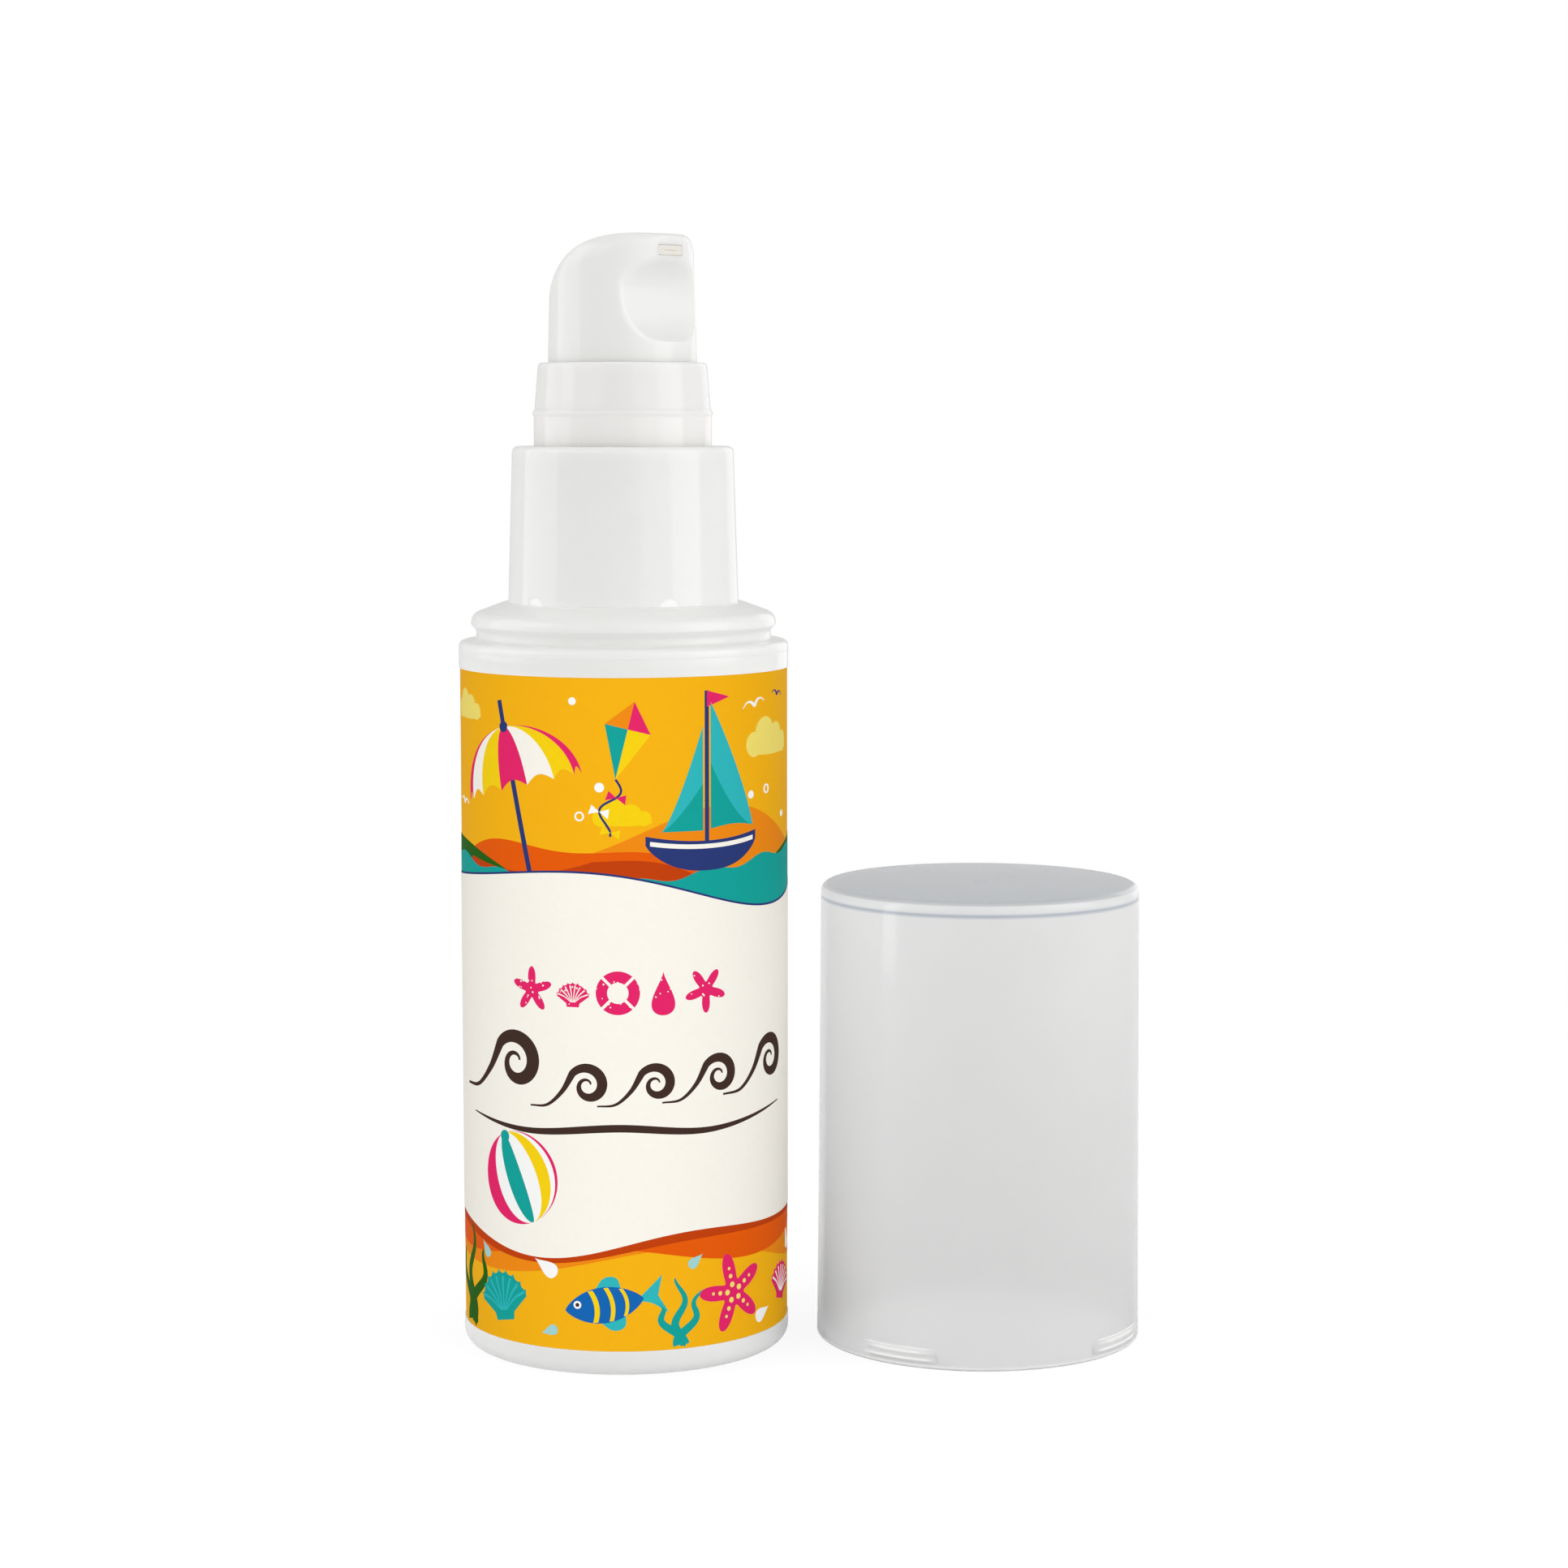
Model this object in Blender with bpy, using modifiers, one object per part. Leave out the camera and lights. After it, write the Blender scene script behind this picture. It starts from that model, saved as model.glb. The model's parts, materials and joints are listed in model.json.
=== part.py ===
"""Airless pump bottle for sun lotion, with its overcap standing beside it.

Metres, +Z up. The origin is the centre of the bottle's base, on the plane that it stands on.
The bottle is a cup with a follower piston. A shoulder ring plugs into its mouth, and a
snap-fitted pump sits on the ring's neck: housing, inlet ball, spring, piston, stem, outlet ball and
a head that slides in a guide sleeve and turns on the stem. The overcap snaps over the shoulder.
"""

import math

import bmesh
import bpy
from mathutils import Matrix, Vector

# Clearances that pieces share
TOUCH_GAP = 0.0003  # between two pieces that are pressed or snapped together
RUN_GAP = 0.0003  # between two pieces that slide on each other
OVERRUN = 0.001  # how far a cutter reaches past what it cuts
WELD_SINK = 0.0003  # how deep a joined lug reaches into its wall
MERGE_DISTANCE = 0.000001

# Facets round a turned piece, and along a rounded corner
FINE_FACETS = 48
INNER_FACETS = 24
CORNER_STEPS = 3

# Bottle body
BODY_RADIUS = 0.0175
BODY_WALL = 0.0014
BODY_HEIGHT = 0.07445
BODY_FLOOR = 0.0016
BASE_ROUND = 0.0016
VENT_RADIUS = 0.0008
VENT_OFFSET = 0.009

# Wrap label, in a shallow panel of the body
LABEL_START = 0.0028
LABEL_TOP_MARGIN = 0.00165
LABEL_THICKNESS = 0.0002
LABEL_GAP = 0.0001
PANEL_MARGIN = 0.0001

# Follower piston
FOLLOWER_HEIGHT = 0.009
FOLLOWER_LIFT = 0.0004
FOLLOWER_LIP_WIDTH = 0.0012
FOLLOWER_LIP_HEIGHT = 0.0012
FOLLOWER_FLARE = 0.001
FOLLOWER_WAIST_CUT = 0.0008
FOLLOWER_WEB = 0.0012
FOLLOWER_WEB_DEPTH = 0.003
FOLLOWER_WEB_SLANT = 0.0008

# Shoulder ring with its plug, snap bead and neck
SEAM = 0.0002
FLANGE_THICKNESS = 0.00095
FLANGE_ROUND = 0.0006
BEAD_PROUD = 0.00047
BEAD_HEIGHT = 0.0015
BEAD_ROUND = 0.0007
BEAD_UNDER_ROUND = 0.0003
CONE_RISE = 0.001
SHOULDER_WALL = 0.0012
SHOULDER_ROOF = 0.0016
PLUG_LENGTH = 0.0066
NECK_WALL = 0.0019
NECK_HEIGHT = 0.0116
NECK_BEAD_HEIGHT = 0.0016
NECK_BEAD_PROUD = 0.00085
NECK_BEAD_SLANT = 0.0005
NECK_BEAD_GAP = 0.00035

# Pump housing, gasket and ball cage
GASKET_THICKNESS = 0.0006
GASKET_INSET = 0.0001
HOUSING_BORE = 0.0046
HOUSING_WALL = 0.0009
HOUSING_FLANGE_INSET = 0.0002
HOUSING_FLANGE_THICKNESS = 0.0011
BALL_CHAMBER_RADIUS = 0.0026
BALL_CHAMBER_DEPTH = 0.0034
INLET_RADIUS = 0.0012
INLET_LENGTH = 0.0009
INLET_BALL_RADIUS = 0.002
CAGE_THICKNESS = 0.0007
CAGE_BORE = 0.0014
CAGE_SLOT_WIDTH = 0.0008
CAGE_SLOT_REACH = 0.0024
CAGE_SLOTS = 3

# Return spring
SPRING_SQUEEZED = 0.0034
SPRING_SIDE_GAP = 0.00075
SPRING_WIRE_RADIUS = 0.00025
SPRING_TURNS = 5
SPRING_POINTS_A_TURN = 14

# Stem, piston, guide and outlet ball
STEM_RADIUS = 0.0026
STEM_BORE = 0.0012
STEM_FLANGE_GAP = 0.0005
STEM_FLANGE_THICKNESS = 0.0006
STEM_CHAMBER_RADIUS = 0.00185
STEM_CHAMBER_DEPTH = 0.0046
OUTLET_BALL_RADIUS = 0.0015
PISTON_HEIGHT = 0.0041
PISTON_LIP_HEIGHT = 0.0008
PISTON_LIP_FLARE = 0.0006
PISTON_HUB_WALL = 0.0006
GUIDE_PLUG_LENGTH = 0.0027
GUIDE_FLANGE_THICKNESS = 0.0008
GUIDE_FLANGE_GAP = 0.00055

# Guide sleeve
SLEEVE_WALL = 0.00125
SLEEVE_FLANGE_PROUD = 0.0013
SLEEVE_FLANGE_THICKNESS = 0.001
SLEEVE_SHOWN = 0.00875
SLEEVE_BEAD_ABOVE = 0.0031
SLEEVE_BEAD_HEIGHT = 0.0008
SLEEVE_BEAD_PROUD = 0.00015
SLEEVE_CROWN_STEP = 0.0001
SLEEVE_CROWN_TAPER = 0.0004
SLEEVE_ROUND = 0.0004

# Snap collar
COLLAR_FLANGE_GAP = 0.0002
COLLAR_TAPER = 0.0005
COLLAR_WALL = 0.0011
COLLAR_ROOF = 0.0012
COLLAR_LIFT = 0.0002
COLLAR_ROUND = 0.0006
LUG_COUNT = 5
LUG_FIRST_ANGLE = math.radians(223.75)
LUG_ANGLE = math.radians(9)
LUG_START = 0.0003
LUG_HEIGHT = 0.0009
LUG_BITE = 0.0005
LUG_TOP_GAP = 0.0002
LUG_STEPS = 2

# Pump head and nozzle insert; the head's own +X is the way the nozzle points
STROKE = 0.006
STROKE_CLEARANCE = 0.0006
HEAD_TURN = math.radians(-44)
HEAD_RADIUS = 0.00785
HEAD_TAPER = 0.00035
HEAD_SHOWN = 0.0133
HEAD_ROUND = 0.0008
HEAD_CREST_AHEAD = 0.007
HEAD_BACK_DROP = 0.0077
HEAD_TOP_RING_SHARES = (0.85, 0.6, 0.3)
SKIRT_WALL = 0.0011
SKIRT_HOLLOW = 0.0054
SOCKET_WALL = 0.0013
SOCKET_RECESS = 0.0011
SOCKET_DEPTH = 0.0066
SCOOP_RADIUS = 0.005
SCOOP_DEPTH = 0.0019
SCOOP_BELOW_TOP = 0.00775
SCOOP_FACETS = 40
RISER_RADIUS = 0.0012
RISER_BELOW_TOP = 0.0032
DUCT_WIDTH = 0.0022
DUCT_HEIGHT = 0.0016
DUCT_STEP = 0.0018
NOZZLE_WIDTH = 0.0033
NOZZLE_HEIGHT = 0.001
NOZZLE_BELOW_TOP = 0.00175
NOZZLE_LENGTH = 0.0028
NOZZLE_RECESS = 0.0003
NOZZLE_GAP = 0.0001
NOZZLE_BACK_GAP = 0.00075
NOZZLE_SLIT_WIDTH = 0.0023
NOZZLE_SLIT_HEIGHT = 0.0004

# Overcap, standing on its rim beside the bottle
CAP_STANDOFF = 0.00315
CAP_Y = 0.0024
CAP_HEADROOM = 0.00535
CAP_TAPER = 0.0004
CAP_WALL = 0.0011
CAP_ROOF = 0.0014
CAP_ROUND = 0.0006
CAP_RIM_ROUND = 0.0003
CAP_GAP = 0.00023
SNAP_COUNT = 4
SNAP_FIRST_ANGLE = math.radians(238)
SNAP_ANGLE = math.radians(30)
SNAP_START = 0.0004
SNAP_HEIGHT = 0.0009
SNAP_BITE = 0.0002
SNAP_STEPS = 5

# Radii that follow from pieces that fit together
BODY_BORE = BODY_RADIUS - BODY_WALL
FOLLOWER_RADIUS = BODY_BORE - RUN_GAP
PLUG_RADIUS = BODY_BORE - TOUCH_GAP
BEAD_RADIUS = BODY_RADIUS - CAP_WALL - CAP_GAP
GROOVE_RADIUS = BEAD_RADIUS - BEAD_PROUD
HEAD_TOP_RADIUS = HEAD_RADIUS - HEAD_TAPER
SLEEVE_BORE = HEAD_RADIUS + RUN_GAP
SLEEVE_RADIUS = SLEEVE_BORE + SLEEVE_WALL
SLEEVE_FLANGE_RADIUS = SLEEVE_RADIUS + SLEEVE_FLANGE_PROUD
COLLAR_TOP_BORE = SLEEVE_FLANGE_RADIUS + COLLAR_FLANGE_GAP
COLLAR_TOP_RADIUS = COLLAR_TOP_BORE + COLLAR_WALL - TOUCH_GAP
COLLAR_RADIUS = COLLAR_TOP_RADIUS + COLLAR_TAPER
COLLAR_BORE = COLLAR_RADIUS - COLLAR_WALL
NECK_RADIUS = COLLAR_BORE - NECK_BEAD_GAP - NECK_BEAD_PROUD
NECK_BORE = NECK_RADIUS - NECK_WALL
HOUSING_FLANGE_RADIUS = NECK_RADIUS - HOUSING_FLANGE_INSET
CHAMBER_WALL_RADIUS = BALL_CHAMBER_RADIUS + HOUSING_WALL
PISTON_BORE = STEM_RADIUS + TOUCH_GAP
PISTON_RADIUS = HOUSING_BORE - RUN_GAP
STEM_FLANGE_RADIUS = HOUSING_BORE - STEM_FLANGE_GAP
SPRING_RADIUS = HOUSING_BORE - SPRING_SIDE_GAP - SPRING_WIRE_RADIUS
SOCKET_BORE = STEM_RADIUS + RUN_GAP
SKIRT_BORE = HEAD_RADIUS - SKIRT_WALL
GUIDE_FLANGE_RADIUS = SKIRT_BORE - GUIDE_FLANGE_GAP

# Heights of the stack, from the standing plane up
LABEL_TOP_Z = BODY_HEIGHT - LABEL_TOP_MARGIN
SHOULDER_Z = BODY_HEIGHT + SEAM
GROOVE_Z = SHOULDER_Z + FLANGE_THICKNESS
BEAD_Z = GROOVE_Z + SNAP_START + SNAP_HEIGHT
BEAD_TOP_Z = BEAD_Z + BEAD_HEIGHT
SHOULDER_TOP_Z = BEAD_TOP_Z + CONE_RISE
COLLAR_Z = SHOULDER_TOP_Z + COLLAR_LIFT
LUG_Z = COLLAR_Z + LUG_START
NECK_BEAD_Z = LUG_Z + LUG_HEIGHT + LUG_TOP_GAP
NECK_TOP_Z = SHOULDER_TOP_Z + NECK_HEIGHT
GASKET_Z = NECK_TOP_Z + TOUCH_GAP
HOUSING_FLANGE_Z = GASKET_Z + GASKET_THICKNESS + TOUCH_GAP
HOUSING_TOP_Z = HOUSING_FLANGE_Z + HOUSING_FLANGE_THICKNESS
SLEEVE_Z = HOUSING_TOP_Z + TOUCH_GAP
SLEEVE_FLANGE_TOP_Z = SLEEVE_Z + SLEEVE_FLANGE_THICKNESS
COLLAR_TOP_Z = SLEEVE_FLANGE_TOP_Z + TOUCH_GAP + COLLAR_ROOF
SLEEVE_TOP_Z = COLLAR_TOP_Z + SLEEVE_SHOWN
HEAD_Z = HOUSING_TOP_Z + STROKE + STROKE_CLEARANCE
HEAD_TOP_Z = SLEEVE_TOP_Z + HEAD_SHOWN

# Heights of the pump's inside, from the guide down
GUIDE_FLANGE_Z = HOUSING_TOP_Z + TOUCH_GAP
GUIDE_Z = GUIDE_FLANGE_Z - GUIDE_PLUG_LENGTH
PISTON_Z = GUIDE_Z - TOUCH_GAP - PISTON_HEIGHT
STEM_Z = PISTON_Z - TOUCH_GAP - STEM_FLANGE_THICKNESS
SPRING_LENGTH = STROKE + SPRING_SQUEEZED
SPRING_Z = STEM_Z - TOUCH_GAP - SPRING_LENGTH
CAGE_Z = SPRING_Z - TOUCH_GAP - CAGE_THICKNESS
BORE_FLOOR_Z = CAGE_Z - TOUCH_GAP
SEAT_TOP_Z = BORE_FLOOR_Z - BALL_CHAMBER_DEPTH
SEAT_Z = SEAT_TOP_Z - (BALL_CHAMBER_RADIUS - INLET_RADIUS)
INLET_Z = SEAT_Z - INLET_LENGTH
SOCKET_TOP_Z = HEAD_Z + SOCKET_DEPTH
STEM_TOP_Z = SOCKET_TOP_Z - TOUCH_GAP
STEM_SEAT_Z = STEM_TOP_Z - STEM_CHAMBER_DEPTH

# The overcap clears the head when it sits on the shoulder's flange
CAP_X = 2 * BODY_RADIUS + CAP_STANDOFF
CAP_HEIGHT = HEAD_TOP_Z - GROOVE_Z + CAP_HEADROOM + CAP_ROOF

# The head's top is an arc that falls by HEAD_BACK_DROP from its crest to the back
HEAD_ARC_REACH = HEAD_TOP_RADIUS + HEAD_CREST_AHEAD
HEAD_ARC_RADIUS = (HEAD_ARC_REACH ** 2 + HEAD_BACK_DROP ** 2) / (2 * HEAD_BACK_DROP)

# Colour, roughness, transmission and metallic value of each material
FINISHES = {
    "white_polypropylene": ((0.90, 0.90, 0.89), 0.34, 0.0, 0.0),
    "soft_white_polypropylene": ((0.88, 0.88, 0.87), 0.42, 0.0, 0.0),
    "natural_polypropylene": ((0.86, 0.88, 0.89), 0.28, 0.85, 0.0),
    "label_film": ((0.94, 0.46, 0.02), 0.38, 0.0, 0.0),
    "cream_insert": ((0.84, 0.78, 0.68), 0.45, 0.0, 0.0),
    "piston_polyethylene": ((0.80, 0.83, 0.86), 0.50, 0.0, 0.0),
    "gasket_elastomer": ((0.70, 0.71, 0.72), 0.70, 0.0, 0.0),
    "spring_steel": ((0.62, 0.62, 0.63), 0.25, 0.0, 1.0),
}


def clear_scene():
    for thing in list(bpy.context.scene.objects):
        bpy.data.objects.remove(thing, do_unlink=True)


def new_collection(name):
    group = bpy.data.collections.new(name)
    bpy.context.scene.collection.children.link(group)
    return group


def material(name):
    """The named Principled material, made when it is first asked for."""
    if name in bpy.data.materials:
        return bpy.data.materials[name]
    colour, roughness, transmission, metallic = FINISHES[name]
    finish = bpy.data.materials.new(name)
    finish.use_nodes = True
    shader = finish.node_tree.nodes["Principled BSDF"]
    shader.inputs["Base Color"].default_value = (*colour, 1.0)
    shader.inputs["Roughness"].default_value = roughness
    shader.inputs["Transmission Weight"].default_value = transmission
    shader.inputs["Metallic"].default_value = metallic
    return finish


def rounded(corners, closed):
    """The outline through the corners, where a corner's third value is the radius of its arc."""
    points = []
    count = len(corners)
    for index, corner in enumerate(corners):
        place = Vector(corner[:2])
        at_end = not closed and index in (0, count - 1)
        if len(corner) < 3 or at_end:
            points.append(place)
            continue
        before = (Vector(corners[index - 1][:2]) - place).normalized()
        after = (Vector(corners[(index + 1) % count][:2]) - place).normalized()
        half = before.angle(after) / 2
        middle = place + (before + after).normalized() * (corner[2] / math.sin(half))
        start = place + before * (corner[2] / math.tan(half)) - middle
        end = place + after * (corner[2] / math.tan(half)) - middle
        turn = start.angle_signed(end)
        for step in range(CORNER_STEPS + 1):
            swing = Matrix.Rotation(-turn * step / CORNER_STEPS, 2)
            points.append(middle + swing @ start)
    return points


def shade(piece):
    """Smooth shading with the hard edges kept sharp."""
    piece.data.shade_smooth()
    piece.data.set_sharp_from_angle(angle=math.radians(35))


def add_piece(name, mesh, finish, group):
    piece = bpy.data.objects.new(name, mesh)
    mesh.materials.append(material(finish))
    group.objects.link(piece)
    return piece


def turned(name, corners, finish, group, closed=True, facets=FINE_FACETS):
    """A profile of (radius, height) corners, carried round the Z axis by a Screw modifier."""
    points = rounded(corners, closed)
    edges = [(index, index + 1) for index in range(len(points) - 1)]
    if closed:
        edges.append((len(points) - 1, 0))
    mesh = bpy.data.meshes.new(name)
    mesh.from_pydata([(point.x, 0, point.y) for point in points], edges, [])
    piece = add_piece(name, mesh, finish, group)
    screw = piece.modifiers.new("turn", "SCREW")
    screw.axis = "Z"
    screw.angle = math.tau
    screw.steps = facets
    screw.render_steps = facets
    screw.use_merge_vertices = True
    screw.merge_threshold = MERGE_DISTANCE
    screw.use_smooth_shade = True
    return piece


def ball(name, radius, height, finish, group):
    mesh = bpy.data.meshes.new(name)
    shape = bmesh.new()
    bmesh.ops.create_uvsphere(shape, u_segments=16, v_segments=10, radius=radius)
    shape.to_mesh(mesh)
    shape.free()
    piece = add_piece(name, mesh, finish, group)
    piece.location.z = height
    shade(piece)
    return piece


def box(name, low, high, group):
    """A cutter that fills the box between two corners."""
    mesh = bpy.data.meshes.new(name)
    shape = bmesh.new()
    bmesh.ops.create_cube(shape, size=1)
    size = Vector(high) - Vector(low)
    middle = (Vector(high) + Vector(low)) / 2
    bmesh.ops.transform(shape, matrix=Matrix.Diagonal((*size, 1)), verts=shape.verts)
    bmesh.ops.translate(shape, vec=middle, verts=shape.verts)
    shape.to_mesh(mesh)
    shape.free()
    return as_guide(name, mesh, group)


def rod(name, radius, length, place, turn, group, facets):
    """A cylindrical cutter, centred at a place and turned by an Euler rotation."""
    mesh = bpy.data.meshes.new(name)
    shape = bmesh.new()
    bmesh.ops.create_cone(
        shape, cap_ends=True, segments=facets, radius1=radius, radius2=radius, depth=length
    )
    shape.to_mesh(mesh)
    shape.free()
    cutter = as_guide(name, mesh, group)
    cutter.location = place
    cutter.rotation_euler = turn
    return cutter


def as_guide(name, mesh, group):
    guide = bpy.data.objects.new(name, mesh)
    group.objects.link(guide)
    guide.hide_render = True
    guide.display_type = "WIRE"
    return guide


def ring_sector(name, corners, angle, width, steps, group):
    """A closed block with the given (radius, height) section, swept over a short arc."""
    mesh = bpy.data.meshes.new(name)
    shape = bmesh.new()
    first = Matrix.Rotation(angle - width / 2, 3, "Z")
    verts = [shape.verts.new(first @ Vector((radius, 0, height))) for radius, height in corners]
    face = shape.faces.new(verts)
    bmesh.ops.spin(
        shape, geom=[face, *face.edges, *face.verts], axis=(0, 0, 1), cent=(0, 0, 0),
        angle=width, steps=steps, use_merge=False, use_duplicate=False,
    )
    bmesh.ops.recalc_face_normals(shape, faces=shape.faces)
    shape.to_mesh(mesh)
    shape.free()
    return as_guide(name, mesh, group)


def combine(piece, guide, operation):
    """Cuts the piece with the guide, or joins it on, with a live Boolean modifier."""
    change = piece.modifiers.new(guide.name, "BOOLEAN")
    change.operation = operation
    change.solver = "EXACT"
    change.object = guide


def make_body(parts, cutters):
    panel = BODY_RADIUS - LABEL_THICKNESS - LABEL_GAP
    panel_low = LABEL_START - PANEL_MARGIN
    panel_high = LABEL_TOP_Z + PANEL_MARGIN
    corners = [
        (0, BODY_FLOOR),
        (BODY_BORE, BODY_FLOOR, BODY_WALL),
        (BODY_BORE, BODY_HEIGHT),
        (BODY_RADIUS, BODY_HEIGHT),
        (BODY_RADIUS, panel_high),
        (panel, panel_high),
        (panel, panel_low),
        (BODY_RADIUS, panel_low),
        (BODY_RADIUS, 0, BASE_ROUND),
        (0, 0),
    ]
    body = turned("bottle_body", corners, "white_polypropylene", parts, closed=False)
    vent = rod(
        "vent_cutter", VENT_RADIUS, BODY_FLOOR + OVERRUN, (0, VENT_OFFSET, BODY_FLOOR / 2),
        (0, 0, 0), cutters, INNER_FACETS,
    )
    combine(body, vent, "DIFFERENCE")
    return body


def make_label(parts):
    inner = BODY_RADIUS - LABEL_THICKNESS
    corners = [
        (inner, LABEL_TOP_Z),
        (BODY_RADIUS, LABEL_TOP_Z),
        (BODY_RADIUS, LABEL_START),
        (inner, LABEL_START),
    ]
    return turned("wrap_label", corners, "label_film", parts)


def make_follower(parts):
    low = BODY_FLOOR + FOLLOWER_LIFT
    high = low + FOLLOWER_HEIGHT
    waist = FOLLOWER_RADIUS - FOLLOWER_WAIST_CUT
    lip = FOLLOWER_RADIUS - FOLLOWER_LIP_WIDTH
    foot = lip - FOLLOWER_WEB_SLANT
    web_top = high - FOLLOWER_WEB_DEPTH
    lip_end = FOLLOWER_LIP_HEIGHT + FOLLOWER_FLARE
    corners = [
        (0, web_top),
        (foot, web_top),
        (lip, high),
        (FOLLOWER_RADIUS, high),
        (FOLLOWER_RADIUS, high - FOLLOWER_LIP_HEIGHT),
        (waist, high - lip_end),
        (waist, low + lip_end),
        (FOLLOWER_RADIUS, low + FOLLOWER_LIP_HEIGHT),
        (FOLLOWER_RADIUS, low + BASE_ROUND),
        (FOLLOWER_RADIUS - BASE_ROUND, low),
        (foot, low),
        (foot, web_top - FOLLOWER_WEB),
        (0, web_top - FOLLOWER_WEB),
    ]
    return turned("follower_piston", corners, "piston_polyethylene", parts, closed=False)


def make_shoulder(parts):
    neck_bead = NECK_RADIUS + NECK_BEAD_PROUD
    bead_high = NECK_BEAD_Z + NECK_BEAD_HEIGHT
    inner = PLUG_RADIUS - SHOULDER_WALL
    corners = [
        (NECK_BORE, NECK_TOP_Z),
        (NECK_RADIUS, NECK_TOP_Z),
        (NECK_RADIUS, bead_high),
        (neck_bead, bead_high - NECK_BEAD_SLANT),
        (neck_bead, NECK_BEAD_Z + NECK_BEAD_SLANT),
        (NECK_RADIUS, NECK_BEAD_Z),
        (NECK_RADIUS, SHOULDER_TOP_Z),
        (COLLAR_RADIUS, SHOULDER_TOP_Z),
        (BEAD_RADIUS, BEAD_TOP_Z, BEAD_ROUND),
        (BEAD_RADIUS, BEAD_Z, BEAD_UNDER_ROUND),
        (GROOVE_RADIUS, BEAD_Z),
        (GROOVE_RADIUS, GROOVE_Z),
        (BODY_RADIUS, GROOVE_Z, FLANGE_ROUND),
        (BODY_RADIUS, SHOULDER_Z),
        (PLUG_RADIUS, SHOULDER_Z),
        (PLUG_RADIUS, SHOULDER_Z - PLUG_LENGTH),
        (inner, SHOULDER_Z - PLUG_LENGTH),
        (inner, BEAD_TOP_Z - SHOULDER_ROOF),
        (COLLAR_RADIUS, SHOULDER_TOP_Z - SHOULDER_ROOF),
        (NECK_BORE, SHOULDER_TOP_Z - SHOULDER_ROOF),
    ]
    return turned("shoulder_ring", corners, "white_polypropylene", parts)


def make_gasket(parts):
    inner = NECK_BORE + GASKET_INSET
    outer = NECK_RADIUS - GASKET_INSET
    top = GASKET_Z + GASKET_THICKNESS
    corners = [(inner, top), (outer, top), (outer, GASKET_Z), (inner, GASKET_Z)]
    return turned("neck_gasket", corners, "gasket_elastomer", parts, facets=INNER_FACETS)


def make_housing(parts):
    outer = HOUSING_BORE + HOUSING_WALL
    inlet_wall = INLET_RADIUS + HOUSING_WALL
    corners = [
        (HOUSING_BORE, HOUSING_TOP_Z),
        (HOUSING_FLANGE_RADIUS, HOUSING_TOP_Z),
        (HOUSING_FLANGE_RADIUS, HOUSING_FLANGE_Z),
        (outer, HOUSING_FLANGE_Z),
        (outer, BORE_FLOOR_Z - HOUSING_WALL),
        (CHAMBER_WALL_RADIUS, BORE_FLOOR_Z - HOUSING_WALL),
        (CHAMBER_WALL_RADIUS, SEAT_TOP_Z),
        (inlet_wall, SEAT_Z),
        (inlet_wall, INLET_Z),
        (INLET_RADIUS, INLET_Z),
        (INLET_RADIUS, SEAT_Z),
        (BALL_CHAMBER_RADIUS, SEAT_TOP_Z),
        (BALL_CHAMBER_RADIUS, BORE_FLOOR_Z),
        (HOUSING_BORE, BORE_FLOOR_Z),
    ]
    return turned(
        "pump_housing", corners, "soft_white_polypropylene", parts, facets=INNER_FACETS
    )


def make_inlet_ball(parts):
    """The ball hangs a gap above the 45 degree cone of its seat."""
    height = SEAT_Z - INLET_RADIUS + math.sqrt(2) * (INLET_BALL_RADIUS + TOUCH_GAP)
    return ball("inlet_ball", INLET_BALL_RADIUS, height, "spring_steel", parts)


def make_cage(parts, cutters):
    outer = HOUSING_BORE - TOUCH_GAP
    top = CAGE_Z + CAGE_THICKNESS
    corners = [(CAGE_BORE, top), (outer, top), (outer, CAGE_Z), (CAGE_BORE, CAGE_Z)]
    cage = turned("ball_cage", corners, "soft_white_polypropylene", parts, facets=INNER_FACETS)
    half = CAGE_SLOT_WIDTH / 2
    for index in range(CAGE_SLOTS):
        slot = box(
            f"cage_slot_cutter_{index + 1}", (0, -half, CAGE_Z - OVERRUN),
            (CAGE_SLOT_REACH, half, top + OVERRUN), cutters,
        )
        slot.rotation_euler.z = math.tau * index / CAGE_SLOTS
        combine(cage, slot, "DIFFERENCE")
    return cage


def make_spring(parts):
    """One round wire on a helix, with its ends on the cage and on the stem's flange."""
    rise = SPRING_LENGTH - 2 * SPRING_WIRE_RADIUS
    count = SPRING_TURNS * SPRING_POINTS_A_TURN
    curve = bpy.data.curves.new("return_spring", "CURVE")
    curve.dimensions = "3D"
    curve.bevel_depth = SPRING_WIRE_RADIUS
    curve.bevel_resolution = 1
    curve.use_fill_caps = True
    line = curve.splines.new("POLY")
    line.points.add(count)
    for index, point in enumerate(line.points):
        angle = math.tau * index / SPRING_POINTS_A_TURN
        height = SPRING_Z + SPRING_WIRE_RADIUS + rise * index / count
        point.co = (SPRING_RADIUS * math.cos(angle), SPRING_RADIUS * math.sin(angle), height, 1)
    turn_gap = rise / SPRING_TURNS - 2 * SPRING_WIRE_RADIUS
    print(f"return_spring: gap between turns {turn_gap * 1000:.2f} mm")
    curve.materials.append(material("spring_steel"))
    spring = bpy.data.objects.new("return_spring", curve)
    parts.objects.link(spring)
    return spring


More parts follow.
